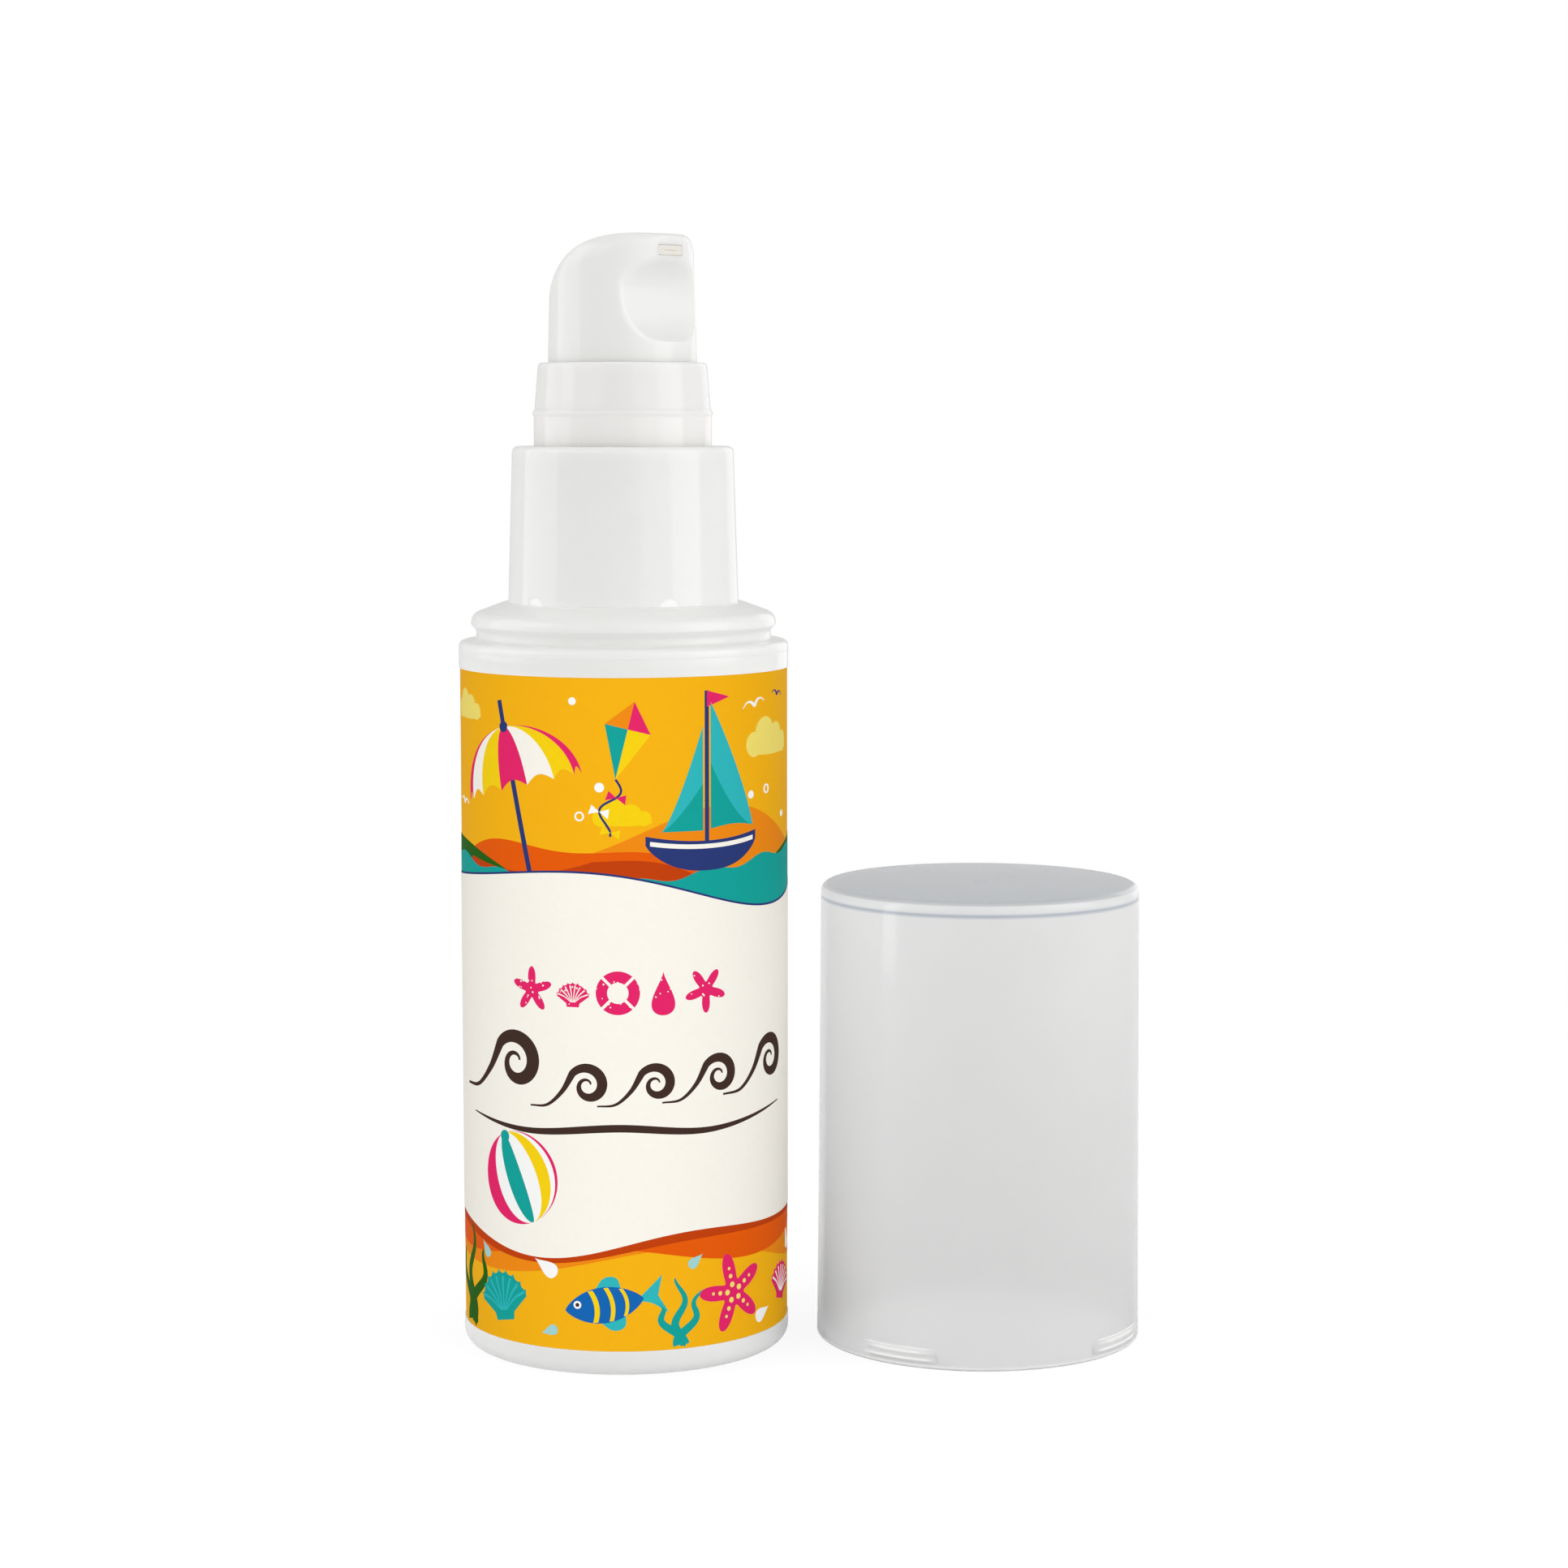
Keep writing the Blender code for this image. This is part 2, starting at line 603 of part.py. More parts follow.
def make_stem(parts):
    cone_top = STEM_SEAT_Z + STEM_CHAMBER_RADIUS - STEM_BORE
    corners = [
        (STEM_CHAMBER_RADIUS, STEM_TOP_Z),
        (STEM_RADIUS, STEM_TOP_Z),
        (STEM_RADIUS, STEM_Z + STEM_FLANGE_THICKNESS),
        (STEM_FLANGE_RADIUS, STEM_Z + STEM_FLANGE_THICKNESS),
        (STEM_FLANGE_RADIUS, STEM_Z),
        (STEM_BORE, STEM_Z),
        (STEM_BORE, STEM_SEAT_Z),
        (STEM_CHAMBER_RADIUS, cone_top),
    ]
    return turned("pump_stem", corners, "soft_white_polypropylene", parts, facets=INNER_FACETS)


def make_outlet_ball(parts):
    height = STEM_SEAT_Z - STEM_BORE + math.sqrt(2) * (OUTLET_BALL_RADIUS + TOUCH_GAP)
    return ball("outlet_ball", OUTLET_BALL_RADIUS, height, "spring_steel", parts)


def make_piston(parts):
    top = PISTON_Z + PISTON_HEIGHT
    hub = PISTON_BORE + PISTON_HUB_WALL
    lip_end = PISTON_LIP_HEIGHT + PISTON_LIP_FLARE
    corners = [
        (PISTON_BORE, top),
        (PISTON_RADIUS, top),
        (PISTON_RADIUS, top - PISTON_LIP_HEIGHT),
        (hub, top - lip_end),
        (hub, PISTON_Z + lip_end),
        (PISTON_RADIUS, PISTON_Z + PISTON_LIP_HEIGHT),
        (PISTON_RADIUS, PISTON_Z),
        (PISTON_BORE, PISTON_Z),
    ]
    return turned("pump_piston", corners, "piston_polyethylene", parts, facets=INNER_FACETS)


def make_guide(parts):
    inner = STEM_RADIUS + RUN_GAP
    plug = HOUSING_BORE - TOUCH_GAP
    top = GUIDE_FLANGE_Z + GUIDE_FLANGE_THICKNESS
    corners = [
        (inner, top),
        (GUIDE_FLANGE_RADIUS, top),
        (GUIDE_FLANGE_RADIUS, GUIDE_FLANGE_Z),
        (plug, GUIDE_FLANGE_Z),
        (plug, GUIDE_Z),
        (inner, GUIDE_Z),
    ]
    return turned("stem_guide", corners, "soft_white_polypropylene", parts, facets=INNER_FACETS)


def make_sleeve(parts):
    bead_low = COLLAR_TOP_Z + SLEEVE_BEAD_ABOVE
    bead_high = bead_low + SLEEVE_BEAD_HEIGHT
    bead = SLEEVE_RADIUS + SLEEVE_BEAD_PROUD
    crown = SLEEVE_RADIUS - SLEEVE_CROWN_STEP
    corners = [
        (SLEEVE_BORE, SLEEVE_TOP_Z),
        (crown - SLEEVE_CROWN_TAPER, SLEEVE_TOP_Z, SLEEVE_ROUND),
        (crown, bead_high),
        (bead, (bead_low + bead_high) / 2),
        (SLEEVE_RADIUS, bead_low),
        (SLEEVE_RADIUS, SLEEVE_FLANGE_TOP_Z),
        (SLEEVE_FLANGE_RADIUS, SLEEVE_FLANGE_TOP_Z),
        (SLEEVE_FLANGE_RADIUS, SLEEVE_Z),
        (SLEEVE_BORE, SLEEVE_Z),
    ]
    return turned("guide_sleeve", corners, "white_polypropylene", parts)


def make_collar(parts, cutters):
    """A roofed ring with lugs round its mouth that snap in under the neck's bead."""
    hole = SLEEVE_RADIUS + TOUCH_GAP
    roof = COLLAR_TOP_Z - COLLAR_ROOF
    corners = [
        (hole, COLLAR_TOP_Z),
        (COLLAR_TOP_RADIUS, COLLAR_TOP_Z, COLLAR_ROUND),
        (COLLAR_RADIUS, COLLAR_Z),
        (COLLAR_BORE, COLLAR_Z),
        (COLLAR_TOP_BORE, roof),
        (hole, roof),
    ]
    collar = turned("snap_collar", corners, "white_polypropylene", parts)
    lug_high = LUG_Z + LUG_HEIGHT
    lug_inner = NECK_RADIUS + NECK_BEAD_PROUD - LUG_BITE
    section = [
        (COLLAR_BORE + WELD_SINK, LUG_Z), (COLLAR_BORE + WELD_SINK, lug_high),
        (lug_inner, lug_high), (lug_inner, LUG_Z),
    ]
    for index in range(LUG_COUNT):
        angle = LUG_FIRST_ANGLE + math.tau * index / LUG_COUNT
        lug = ring_sector(
            f"collar_lug_{index + 1}", section, angle, LUG_ANGLE, LUG_STEPS, cutters
        )
        combine(collar, lug, "UNION")
    return collar


def head_wall_radius(height):
    """Straight inside the sleeve, then a straight taper to the top."""
    share = max(0.0, (height - SLEEVE_TOP_Z) / (HEAD_TOP_Z - SLEEVE_TOP_Z))
    return HEAD_RADIUS + (HEAD_TOP_RADIUS - HEAD_RADIUS) * share


def head_top_height(ahead):
    """The top is an arc that is highest near the nozzle and falls away to the back."""
    middle = HEAD_TOP_Z - HEAD_ARC_RADIUS
    return middle + math.sqrt(HEAD_ARC_RADIUS ** 2 - (ahead - HEAD_CREST_AHEAD) ** 2)


def head_rings():
    """Rings of the head's outside: skirt, wall, rounded edge and sloping top."""
    rings = []
    for height in (HEAD_Z, SLEEVE_TOP_Z):
        rings.append([(HEAD_RADIUS, height)] * FINE_FACETS)
    angles = [math.tau * index / FINE_FACETS for index in range(FINE_FACETS)]
    edge = [head_top_height(HEAD_TOP_RADIUS * math.cos(angle)) for angle in angles]
    for step in range(CORNER_STEPS + 1):
        lean = math.pi / 2 * step / CORNER_STEPS
        inset = HEAD_ROUND * (1 - math.cos(lean))
        drop = HEAD_ROUND * (1 - math.sin(lean))
        ring = []
        for top in edge:
            height = top - drop
            ring.append((head_wall_radius(height) - inset, height))
        rings.append(ring)
    rim = HEAD_TOP_RADIUS - HEAD_ROUND
    for share in HEAD_TOP_RING_SHARES:
        radius = rim * share
        rings.append([(radius, head_top_height(radius * math.cos(angle))) for angle in angles])
    return angles, rings


def head_blank():
    """The closed solid between the head's rings, with a flat bottom and a fan at the top."""
    angles, rings = head_rings()
    shape = bmesh.new()
    rows = []
    for ring in rings:
        row = []
        for angle, (radius, height) in zip(angles, ring):
            place = (radius * math.cos(angle), radius * math.sin(angle), height)
            row.append(shape.verts.new(place))
        rows.append(row)
    crown = shape.verts.new((0, 0, head_top_height(0)))
    shape.faces.new(list(reversed(rows[0])))
    for index in range(FINE_FACETS):
        after = (index + 1) % FINE_FACETS
        for low, high in zip(rows, rows[1:]):
            shape.faces.new((low[index], low[after], high[after], high[index]))
        shape.faces.new((rows[-1][index], rows[-1][after], crown))
    mesh = bpy.data.meshes.new("actuator_head")
    shape.to_mesh(mesh)
    shape.free()
    return mesh


def make_head(parts, cutters):
    head = add_piece("actuator_head", head_blank(), "white_polypropylene", parts)
    guides = [head_hollow(cutters), head_scoop(cutters), *head_ducts(cutters)]
    for guide in guides:
        guide.rotation_euler.z = HEAD_TURN
        combine(head, guide, "DIFFERENCE")
    head.rotation_euler.z = HEAD_TURN
    shade(head)
    return head


def head_hollow(cutters):
    """The space under the head: a ring-shaped hollow round the socket, and the socket's bore."""
    below = HEAD_Z - OVERRUN
    hollow_top = HEAD_Z + SKIRT_HOLLOW
    socket = SOCKET_BORE + SOCKET_WALL
    corners = [
        (0, SOCKET_TOP_Z),
        (SOCKET_BORE, SOCKET_TOP_Z),
        (SOCKET_BORE, HEAD_Z + SOCKET_RECESS),
        (socket, HEAD_Z + SOCKET_RECESS),
        (socket, hollow_top),
        (SKIRT_BORE, hollow_top),
        (SKIRT_BORE, below),
        (0, below),
    ]
    name = "head_hollow_cutter"
    hollow = turned(name, corners, "white_polypropylene", cutters, closed=False)
    hollow.hide_render = True
    hollow.display_type = "WIRE"
    return hollow


def head_scoop(cutters):
    """A finger scoop below the nozzle, cut by a cylinder that lies across the front."""
    ahead = head_wall_radius(HEAD_TOP_Z - SCOOP_BELOW_TOP) - SCOOP_DEPTH + SCOOP_RADIUS
    place = Matrix.Rotation(HEAD_TURN, 3, "Z") @ Vector((ahead, 0, HEAD_TOP_Z - SCOOP_BELOW_TOP))
    return rod(
        "head_scoop_cutter", SCOOP_RADIUS, 2 * HEAD_RADIUS, place,
        (math.pi / 2, 0, 0), cutters, SCOOP_FACETS,
    )


def nozzle_front():
    """How far ahead the flat front of the insert lies, just inside the head's round wall."""
    reach = head_wall_radius(HEAD_TOP_Z - NOZZLE_BELOW_TOP) - NOZZLE_RECESS
    return math.sqrt(reach ** 2 - (NOZZLE_WIDTH / 2) ** 2)


def head_ducts(cutters):
    """The lotion's way from the socket up the middle, forward, up a step and out of the slot."""
    riser_top = HEAD_TOP_Z - RISER_BELOW_TOP
    riser_low = SOCKET_TOP_Z - OVERRUN
    riser = rod(
        "riser_cutter", RISER_RADIUS, riser_top - riser_low, (0, 0, (riser_top + riser_low) / 2),
        (0, 0, 0), cutters, INNER_FACETS,
    )
    half = DUCT_WIDTH / 2
    duct_low = riser_top - DUCT_HEIGHT
    slot_z = HEAD_TOP_Z - NOZZLE_BELOW_TOP
    slot_half = NOZZLE_HEIGHT / 2 + NOZZLE_GAP
    slot_start = nozzle_front() - NOZZLE_LENGTH - NOZZLE_BACK_GAP
    reach = slot_start + DUCT_STEP / 2
    duct = box("duct_cutter", (0, -half, duct_low), (reach, half, riser_top), cutters)
    step = box(
        "duct_step_cutter", (reach - DUCT_STEP, -half, duct_low), (reach, half, slot_z), cutters
    )
    slot_width = NOZZLE_WIDTH / 2 + NOZZLE_GAP
    slot = box(
        "nozzle_slot_cutter", (slot_start, -slot_width, slot_z - slot_half),
        (HEAD_RADIUS + OVERRUN, slot_width, slot_z + slot_half), cutters,
    )
    return [riser, duct, step, slot]


def make_nozzle(parts, cutters):
    """A small rectangular insert in the head's slot, with a slit right through."""
    front = nozzle_front()
    middle = HEAD_TOP_Z - NOZZLE_BELOW_TOP
    mesh = bpy.data.meshes.new("nozzle_insert")
    shape = bmesh.new()
    bmesh.ops.create_cube(shape, size=1)
    size = Matrix.Diagonal((NOZZLE_LENGTH, NOZZLE_WIDTH, NOZZLE_HEIGHT, 1))
    bmesh.ops.transform(shape, matrix=size, verts=shape.verts)
    bmesh.ops.translate(shape, vec=(front - NOZZLE_LENGTH / 2, 0, middle), verts=shape.verts)
    shape.to_mesh(mesh)
    shape.free()
    insert = add_piece("nozzle_insert", mesh, "cream_insert", parts)
    slit = box(
        "nozzle_slit_cutter",
        (front - NOZZLE_LENGTH - OVERRUN, -NOZZLE_SLIT_WIDTH / 2, middle - NOZZLE_SLIT_HEIGHT / 2),
        (front + OVERRUN, NOZZLE_SLIT_WIDTH / 2, middle + NOZZLE_SLIT_HEIGHT / 2), cutters,
    )
    slit.rotation_euler.z = HEAD_TURN
    insert.rotation_euler.z = HEAD_TURN
    combine(insert, slit, "DIFFERENCE")
    return insert


def make_overcap(parts, cutters):
    top_radius = BODY_RADIUS - CAP_TAPER
    inner_top = top_radius - CAP_WALL
    inner = BODY_RADIUS - CAP_WALL
    corners = [
        (0, CAP_HEIGHT),
        (top_radius, CAP_HEIGHT, CAP_ROUND),
        (BODY_RADIUS, 0, CAP_RIM_ROUND),
        (inner, 0),
        (inner_top, CAP_HEIGHT - CAP_ROOF, CAP_ROUND),
        (0, CAP_HEIGHT - CAP_ROOF),
    ]
    cap = turned("overcap", corners, "natural_polypropylene", parts, closed=False)
    cap.location = (CAP_X, CAP_Y, 0)
    snap_inner = BEAD_RADIUS - SNAP_BITE
    section = [
        (inner + WELD_SINK, SNAP_START), (inner + WELD_SINK, SNAP_START + SNAP_HEIGHT),
        (snap_inner, SNAP_START + SNAP_HEIGHT), (snap_inner, SNAP_START),
    ]
    for index in range(SNAP_COUNT):
        angle = SNAP_FIRST_ANGLE + math.tau * index / SNAP_COUNT
        snap = ring_sector(
            f"cap_snap_{index + 1}", section, angle, SNAP_ANGLE, SNAP_STEPS, cutters
        )
        snap.location = cap.location
        combine(cap, snap, "UNION")
    return cap


def main():
    clear_scene()
    parts = new_collection("airless_pump_bottle")
    cutters = new_collection("cutters")
    make_body(parts, cutters)
    make_label(parts)
    make_follower(parts)
    make_shoulder(parts)
    make_gasket(parts)
    make_housing(parts)
    make_inlet_ball(parts)
    make_cage(parts, cutters)
    make_spring(parts)
    make_stem(parts)
    make_outlet_ball(parts)
    make_piston(parts)
    make_guide(parts)
    make_sleeve(parts)
    make_collar(parts, cutters)
    make_head(parts, cutters)
    make_nozzle(parts, cutters)
    make_overcap(parts, cutters)


main()
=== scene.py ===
"""Looks of an airless pump bottle with a printed label, and of the overcap beside it.

Lengths are metres in the frame of the CAD: +Z up, the bottle's axis on Z, the viewer on -Y.
Turned pieces are outlines carried round an axis. The label's print is a set of thin closed sheets
of ink, laid on the film's cylinder from drawings in millimetres.
"""

import json
import math

import bpy
import numpy as np
from bpy.props import FloatProperty, FloatVectorProperty, IntProperty, PointerProperty
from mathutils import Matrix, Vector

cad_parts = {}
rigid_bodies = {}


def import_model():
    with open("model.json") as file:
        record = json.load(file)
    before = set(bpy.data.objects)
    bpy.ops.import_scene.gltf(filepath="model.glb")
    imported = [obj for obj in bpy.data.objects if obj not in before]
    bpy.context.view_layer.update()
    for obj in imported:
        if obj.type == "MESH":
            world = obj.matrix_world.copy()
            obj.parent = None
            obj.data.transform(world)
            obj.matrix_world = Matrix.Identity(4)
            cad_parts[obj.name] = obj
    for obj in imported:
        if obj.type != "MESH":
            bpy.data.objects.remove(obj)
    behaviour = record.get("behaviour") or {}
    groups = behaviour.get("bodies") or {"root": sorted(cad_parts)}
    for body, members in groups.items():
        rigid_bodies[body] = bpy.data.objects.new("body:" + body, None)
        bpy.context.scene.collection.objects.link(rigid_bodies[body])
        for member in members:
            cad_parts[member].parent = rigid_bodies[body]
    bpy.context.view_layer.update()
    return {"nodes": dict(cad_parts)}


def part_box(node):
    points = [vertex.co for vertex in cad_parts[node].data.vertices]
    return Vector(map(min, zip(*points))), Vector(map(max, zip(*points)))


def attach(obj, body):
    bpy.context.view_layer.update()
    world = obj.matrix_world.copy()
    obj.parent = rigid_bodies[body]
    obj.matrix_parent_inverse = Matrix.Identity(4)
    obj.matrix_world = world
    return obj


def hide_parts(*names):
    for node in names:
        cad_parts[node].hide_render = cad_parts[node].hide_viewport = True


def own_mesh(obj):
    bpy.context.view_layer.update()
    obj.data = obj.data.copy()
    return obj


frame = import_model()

bl_info = {
    "name": "Airless pump bottle looks",
    "version": (1, 0, 0),
    "blender": (4, 5, 0),
    "location": "3D View > Sidebar > Bottle",
    "description": "Finished pieces, printed label and studio of an airless pump bottle",
    "category": "Object",
}

BOXES = {name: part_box(name) for name in frame["nodes"]}
MM = 0.001
HEAD_PLAY = 0.00004
WELD_GRID = 1e-8
SHARP_EDGE = math.radians(32)
GRAIN_DEPTH = 0.0001
ROUGHNESS_SPREAD = 0.15


def low_of(node):
    return BOXES[node][0].z


def high_of(node):
    return BOXES[node][1].z


def reach_of(node):
    """Half of a round node's width."""
    return (BOXES[node][1].x - BOXES[node][0].x) / 2


def length(name, about, default):
    return FloatProperty(name=name, description=about, default=default, min=0, unit="LENGTH", precision=5)


def share(name, about, default):
    return FloatProperty(name=name, description=about, default=default, min=0, max=1, subtype="FACTOR")


def watts(name, about, default):
    return FloatProperty(name=name, description=f"Watts of the {about}", default=default, min=0, unit="POWER")


def paint(name, about, red, green, blue):
    """A colour that is set as it shows on a screen."""
    shown = (red / 255, green / 255, blue / 255)
    return FloatVectorProperty(
        name=name, description=about, default=shown, size=3, min=0, max=1, subtype="COLOR_GAMMA"
    )


class BottleSizes(bpy.types.PropertyGroup):
    """Sizes that the finished pieces take beside those of the frame."""

    facets: IntProperty(name="Facets", description="Facets round a turned piece", default=192, min=48)
    touch_gap: length("Touch gap", "Gap between two seated pieces", 0.0003)
    seam: length("Seam", "Gap that shows as a fine line where two pieces meet", 0.00001)
    body_wall: length("Body wall", "Thickness of the bottle's wall", 0.0014)
    body_floor: length("Body floor", "Thickness of the bottle's floor", 0.0016)
    base_round: length("Base round", "Radius of the bottle's lower edge", 0.0016)
    base_rise: length("Base rise", "Depth of the dished middle of the base", 0.00025)
    vent_radius: length("Vent radius", "Radius of the hole in the base", 0.0008)
    vent_offset: length("Vent offset", "Distance of the vent from the axis", 0.009)
    film_thickness: length("Film thickness", "Thickness of the label film", 0.0001)
    ink_step: length("Ink step", "Rise from one layer of ink to the next", 0.000012)
    ink_sink: length("Ink sink", "Depth of the ink's underside in the film", 0.00001)
    collar_wall: length("Collar wall", "Thickness of the collar's wall", 0.0011)
    collar_taper: length("Collar taper", "How much the collar narrows to its top", 0.0005)
    collar_roof: length("Collar roof", "Thickness of the collar's roof", 0.0012)
    window_width: length("Window width", "Width of the shallow window over a lug", 0.0023)
    window_height: length("Window height", "Height of the shallow window over a lug", 0.001)
    window_depth: length("Window depth", "Depth of the shallow window over a lug", 0.00008)
    sleeve_wall: length("Sleeve wall", "Thickness of the guide sleeve", 0.00125)
    head_round: length("Head round", "How far the head's top edge is rounded inwards", 0.001)
    head_fall: length("Head fall", "How far the head's top edge falls at the nozzle", 0.0008)
    side_fall: length("Side fall", "How far the head's top edge falls beside the nozzle", 0.002)
    scoop_above: length("Scoop above", "Height of the finger scoop over its deepest level", 0.0035)
    scoop_below: length("Scoop below", "Height of the finger scoop under its deepest level", 0.0056)
    scoop_depth: length("Scoop depth", "Depth of the finger scoop", 0.00222)
    scoop_soft: length("Scoop softness", "Width over which the scoop's edge is rounded", 0.00035)
    cap_wall: length("Cap wall", "Thickness of the overcap's wall", 0.0011)
    cap_roof: length("Cap roof", "Thickness of the overcap's roof", 0.0014)
    cap_taper: length("Cap taper", "How much the overcap narrows to its top", 0.0004)


class BottleColours(bpy.types.PropertyGroup):
    """Colours of the plastics and of the label's inks."""

    white: paint("White plastic", "Bottle, shoulder and collar", 232, 232, 230)
    soft_white: paint("Inside plastic", "Pump pieces inside", 225, 225, 222)
    sleeve: paint("Sleeve plastic", "Guide sleeve", 232, 231, 229)
    # Painted light: lighter than the rest of the sleeve, against the shade that the collar casts on it
    painted_sleeve_light: paint("Sleeve's lower part", "Guide sleeve under its bead", 237, 235, 233)
    # Painted highlight: the windows' lighter tint stands in for the lamps' reflections on the collar's foot
    window: paint("Window plastic", "Thin windows at the collar's foot", 245, 245, 243)
    clear: paint("Natural plastic", "Overcap's wall", 244, 244, 244)
    # Painted highlight: a white line low on the overcap's rim and a white band on its rounded top edge
    painted_edge_light: paint("Clear edges", "Overcap's rim and rounded edge", 255, 255, 255)
    # Painted shade: a dark blue line round the overcap where its roof meets the wall
    clear_line: paint("Roof line", "Overcap where its roof meets the wall", 120, 143, 170)
    # Painted shade: grey on the overcap's top, which gets less light, and a grey line at its rim's foot
    painted_grey_shade: paint("Overcap's top", "Top of the overcap", 224, 228, 231)
    glint: paint("Glint", "Overcap's wall in front of its snap segments", 255, 254, 252)
    cream_part: paint("Cream plastic", "Nozzle insert", 224, 219, 211)
    piston: paint("Piston plastic", "Pistons", 214, 220, 225)
    gasket: paint("Gasket", "Neck gasket", 182, 183, 185)
    steel: paint("Steel", "Spring and balls", 200, 201, 203)
    amber: paint("Amber", "Ground of the label", 249, 182, 22)
    cream: paint("Cream", "Middle of the label", 253, 249, 239)
    orange: paint("Orange", "Hills", 243, 140, 22)
    ember: paint("Ember", "Near hills", 233, 93, 12)
    rust: paint("Rust", "Where hills overlap", 196, 66, 14)
    teal: paint("Teal", "Sea and sails", 22, 164, 156)
    aqua: paint("Aqua", "Light sea and sails", 50, 185, 190)
    navy: paint("Navy", "Hull and poles", 45, 60, 120)
    pink: paint("Pink", "Gores, stars and the row of signs", 232, 40, 107)
    cocoa: paint("Cocoa", "Wave scroll", 67, 48, 42)
    blue: paint("Blue", "Fish", 23, 103, 181)
    fern: paint("Fern", "Green hill and weed", 38, 98, 22)
    butter: paint("Butter", "Clouds", 248, 228, 115)
    lemon: paint("Lemon", "Gores and bands", 250, 212, 20)
    mist: paint("Mist", "Drops", 163, 214, 214)
    chalk: paint("Chalk", "Gulls and dots", 253, 253, 251)


class StudioSettings(bpy.types.PropertyGroup):
    """Camera, lamps and floor."""

    camera_place: FloatVectorProperty(
        name="Camera place", description="Where the camera stands", size=3, unit="LENGTH",
        default=(0.0170448, -0.3784369, 0.0998829),
    )
    camera_pitch: FloatProperty(
        name="Camera pitch", description="How far the camera looks down", default=0.1046,
        subtype="ANGLE",
    )
    camera_lens: FloatProperty(
        name="Lens", description="Focal length on a 36 mm sensor", default=81.77, unit="CAMERA"
    )
    ambient: share("Ambient", "Strength of the white surroundings", 0.6)
    mirrored: share("Mirrored white", "How much of the white is seen in reflections", 0.25)
    right_power: watts("Right lamp", "right softbox", 1.13)
    left_power: watts("Left lamp", "left softbox", 0.74)
    front_power: watts("Front lamp", "lamp in front on the left", 0.7)
    strip_power: watts("Strip lamp", "narrow lamp on the right", 0.48)
    edge_power: watts("Edge lamp", "lamp behind the right", 0.18)
    label_power: watts("Label lamp", "front lamp for the label alone", 1.17)
    cap_power: watts("Overcap lamp", "left lamp for the overcap alone", 0.9)
    shadow: share("Floor shadow", "How much of the floor's own shading shows", 0.2)
    floor_level: share("Floor level", "Brightness of the floor's own shading in the open", 0.8)


def sizes():
    return bpy.context.scene.bottle_sizes


def colour_of(name):
    """The named colour, turned from its screen value into a linear one."""
    shown = np.array(getattr(bpy.context.scene.bottle_colours, name))
    linear = np.where(shown <= 0.04045, shown / 12.92, ((shown + 0.055) / 1.055) ** 2.4)
    return tuple(linear)


# Surfaces


def arc_outline(corners, steps=6, closed=True):
    """The outline through (radius, height) corners. A corner's third value rounds it: the arc's
    centre lies on the corner's bisector, and its points turn evenly from tangent to tangent."""
    points = []
    count = len(corners)
    for index, corner in enumerate(corners):
        place = np.array(corner[:2], float)
        if len(corner) < 3 or (not closed and index in (0, count - 1)):
            points.append(place[None])
            continue
        before = np.array(corners[index - 1][:2]) - place
        after = np.array(corners[(index + 1) % count][:2]) - place
        before /= np.linalg.norm(before)
        after /= np.linalg.norm(after)
        half = math.acos(before @ after) / 2
        bisector = (before + after) / np.linalg.norm(before + after)
        middle = place + bisector * corner[2] / math.sin(half)
        start = place + before * corner[2] / math.tan(half) - middle
        end = place + after * corner[2] / math.tan(half) - middle
        turn = math.pi - 2 * half
        step = np.linspace(0, turn, steps + 1)[:, None]
        points.append(middle + (np.sin(turn - step) * start + np.sin(step) * end) / math.sin(turn))
    return np.concatenate(points)


def subdivided(outline, first, last, longest):
    """The outline with points put in between two of its points, so that no step there is over the
    longest length."""
    parts = []
    for start, end in zip(outline[first:last], outline[first + 1:last + 1]):
        count = max(1, math.ceil(np.linalg.norm(end - start) / longest))
        parts.append(start + (end - start) * np.arange(count)[:, None] / count)
    return np.concatenate((outline[:first], *parts, outline[last:]))


def ring_path(count):
    """Even points on the unit circle."""
    angle = np.arange(count) * math.tau / count
    return np.stack((np.cos(angle), np.sin(angle)), -1)


def closed_skin(points, wrap_rows, wrap_columns):
    """Faces over a grid of points, as (points, quads, triangles). Points in one place are joined, so
    that poles and seams close. A quad that loses a corner is a triangle, and one that loses two
    goes. The faces are turned so that the volume inside, the sum over the faces of the triple
    product of their corners, is positive."""
    rows, columns = points.shape[:2]
    row = np.arange(rows if wrap_rows else rows - 1)[:, None]
    column = np.arange(columns if wrap_columns else columns - 1)
    next_row, next_column = (row + 1) % rows, (column + 1) % columns
    corners = (
        row * columns + column,
        next_row * columns + column,
        next_row * columns + next_column,
        row * columns + next_column,
    )
    quads = np.stack(np.broadcast_arrays(*corners), -1).reshape(-1, 4)
    points = points.reshape(-1, 3)
    keys = np.round(points / WELD_GRID).astype(np.int64)
    _, first, number = np.unique(keys, axis=0, return_index=True, return_inverse=True)
    quads = number.reshape(-1)[quads]
    points = points[first]
    repeated = quads == np.roll(quads, -1, axis=1)
    lost = repeated.sum(1)
    short = lost == 1
    triangles = quads[short][~repeated[short]].reshape(-1, 3)
    quads = quads[lost == 0]
    halves = np.concatenate((quads[:, [0, 1, 2]], quads[:, [0, 2, 3]], triangles))
    centre = points.mean(0)
    one, two, three = (points[halves[:, k]] - centre for k in range(3))
    if np.einsum("ij,ij->", one, np.cross(two, three)) < 0:
        quads, triangles = quads[:, ::-1], triangles[:, ::-1]
    return points, quads, triangles


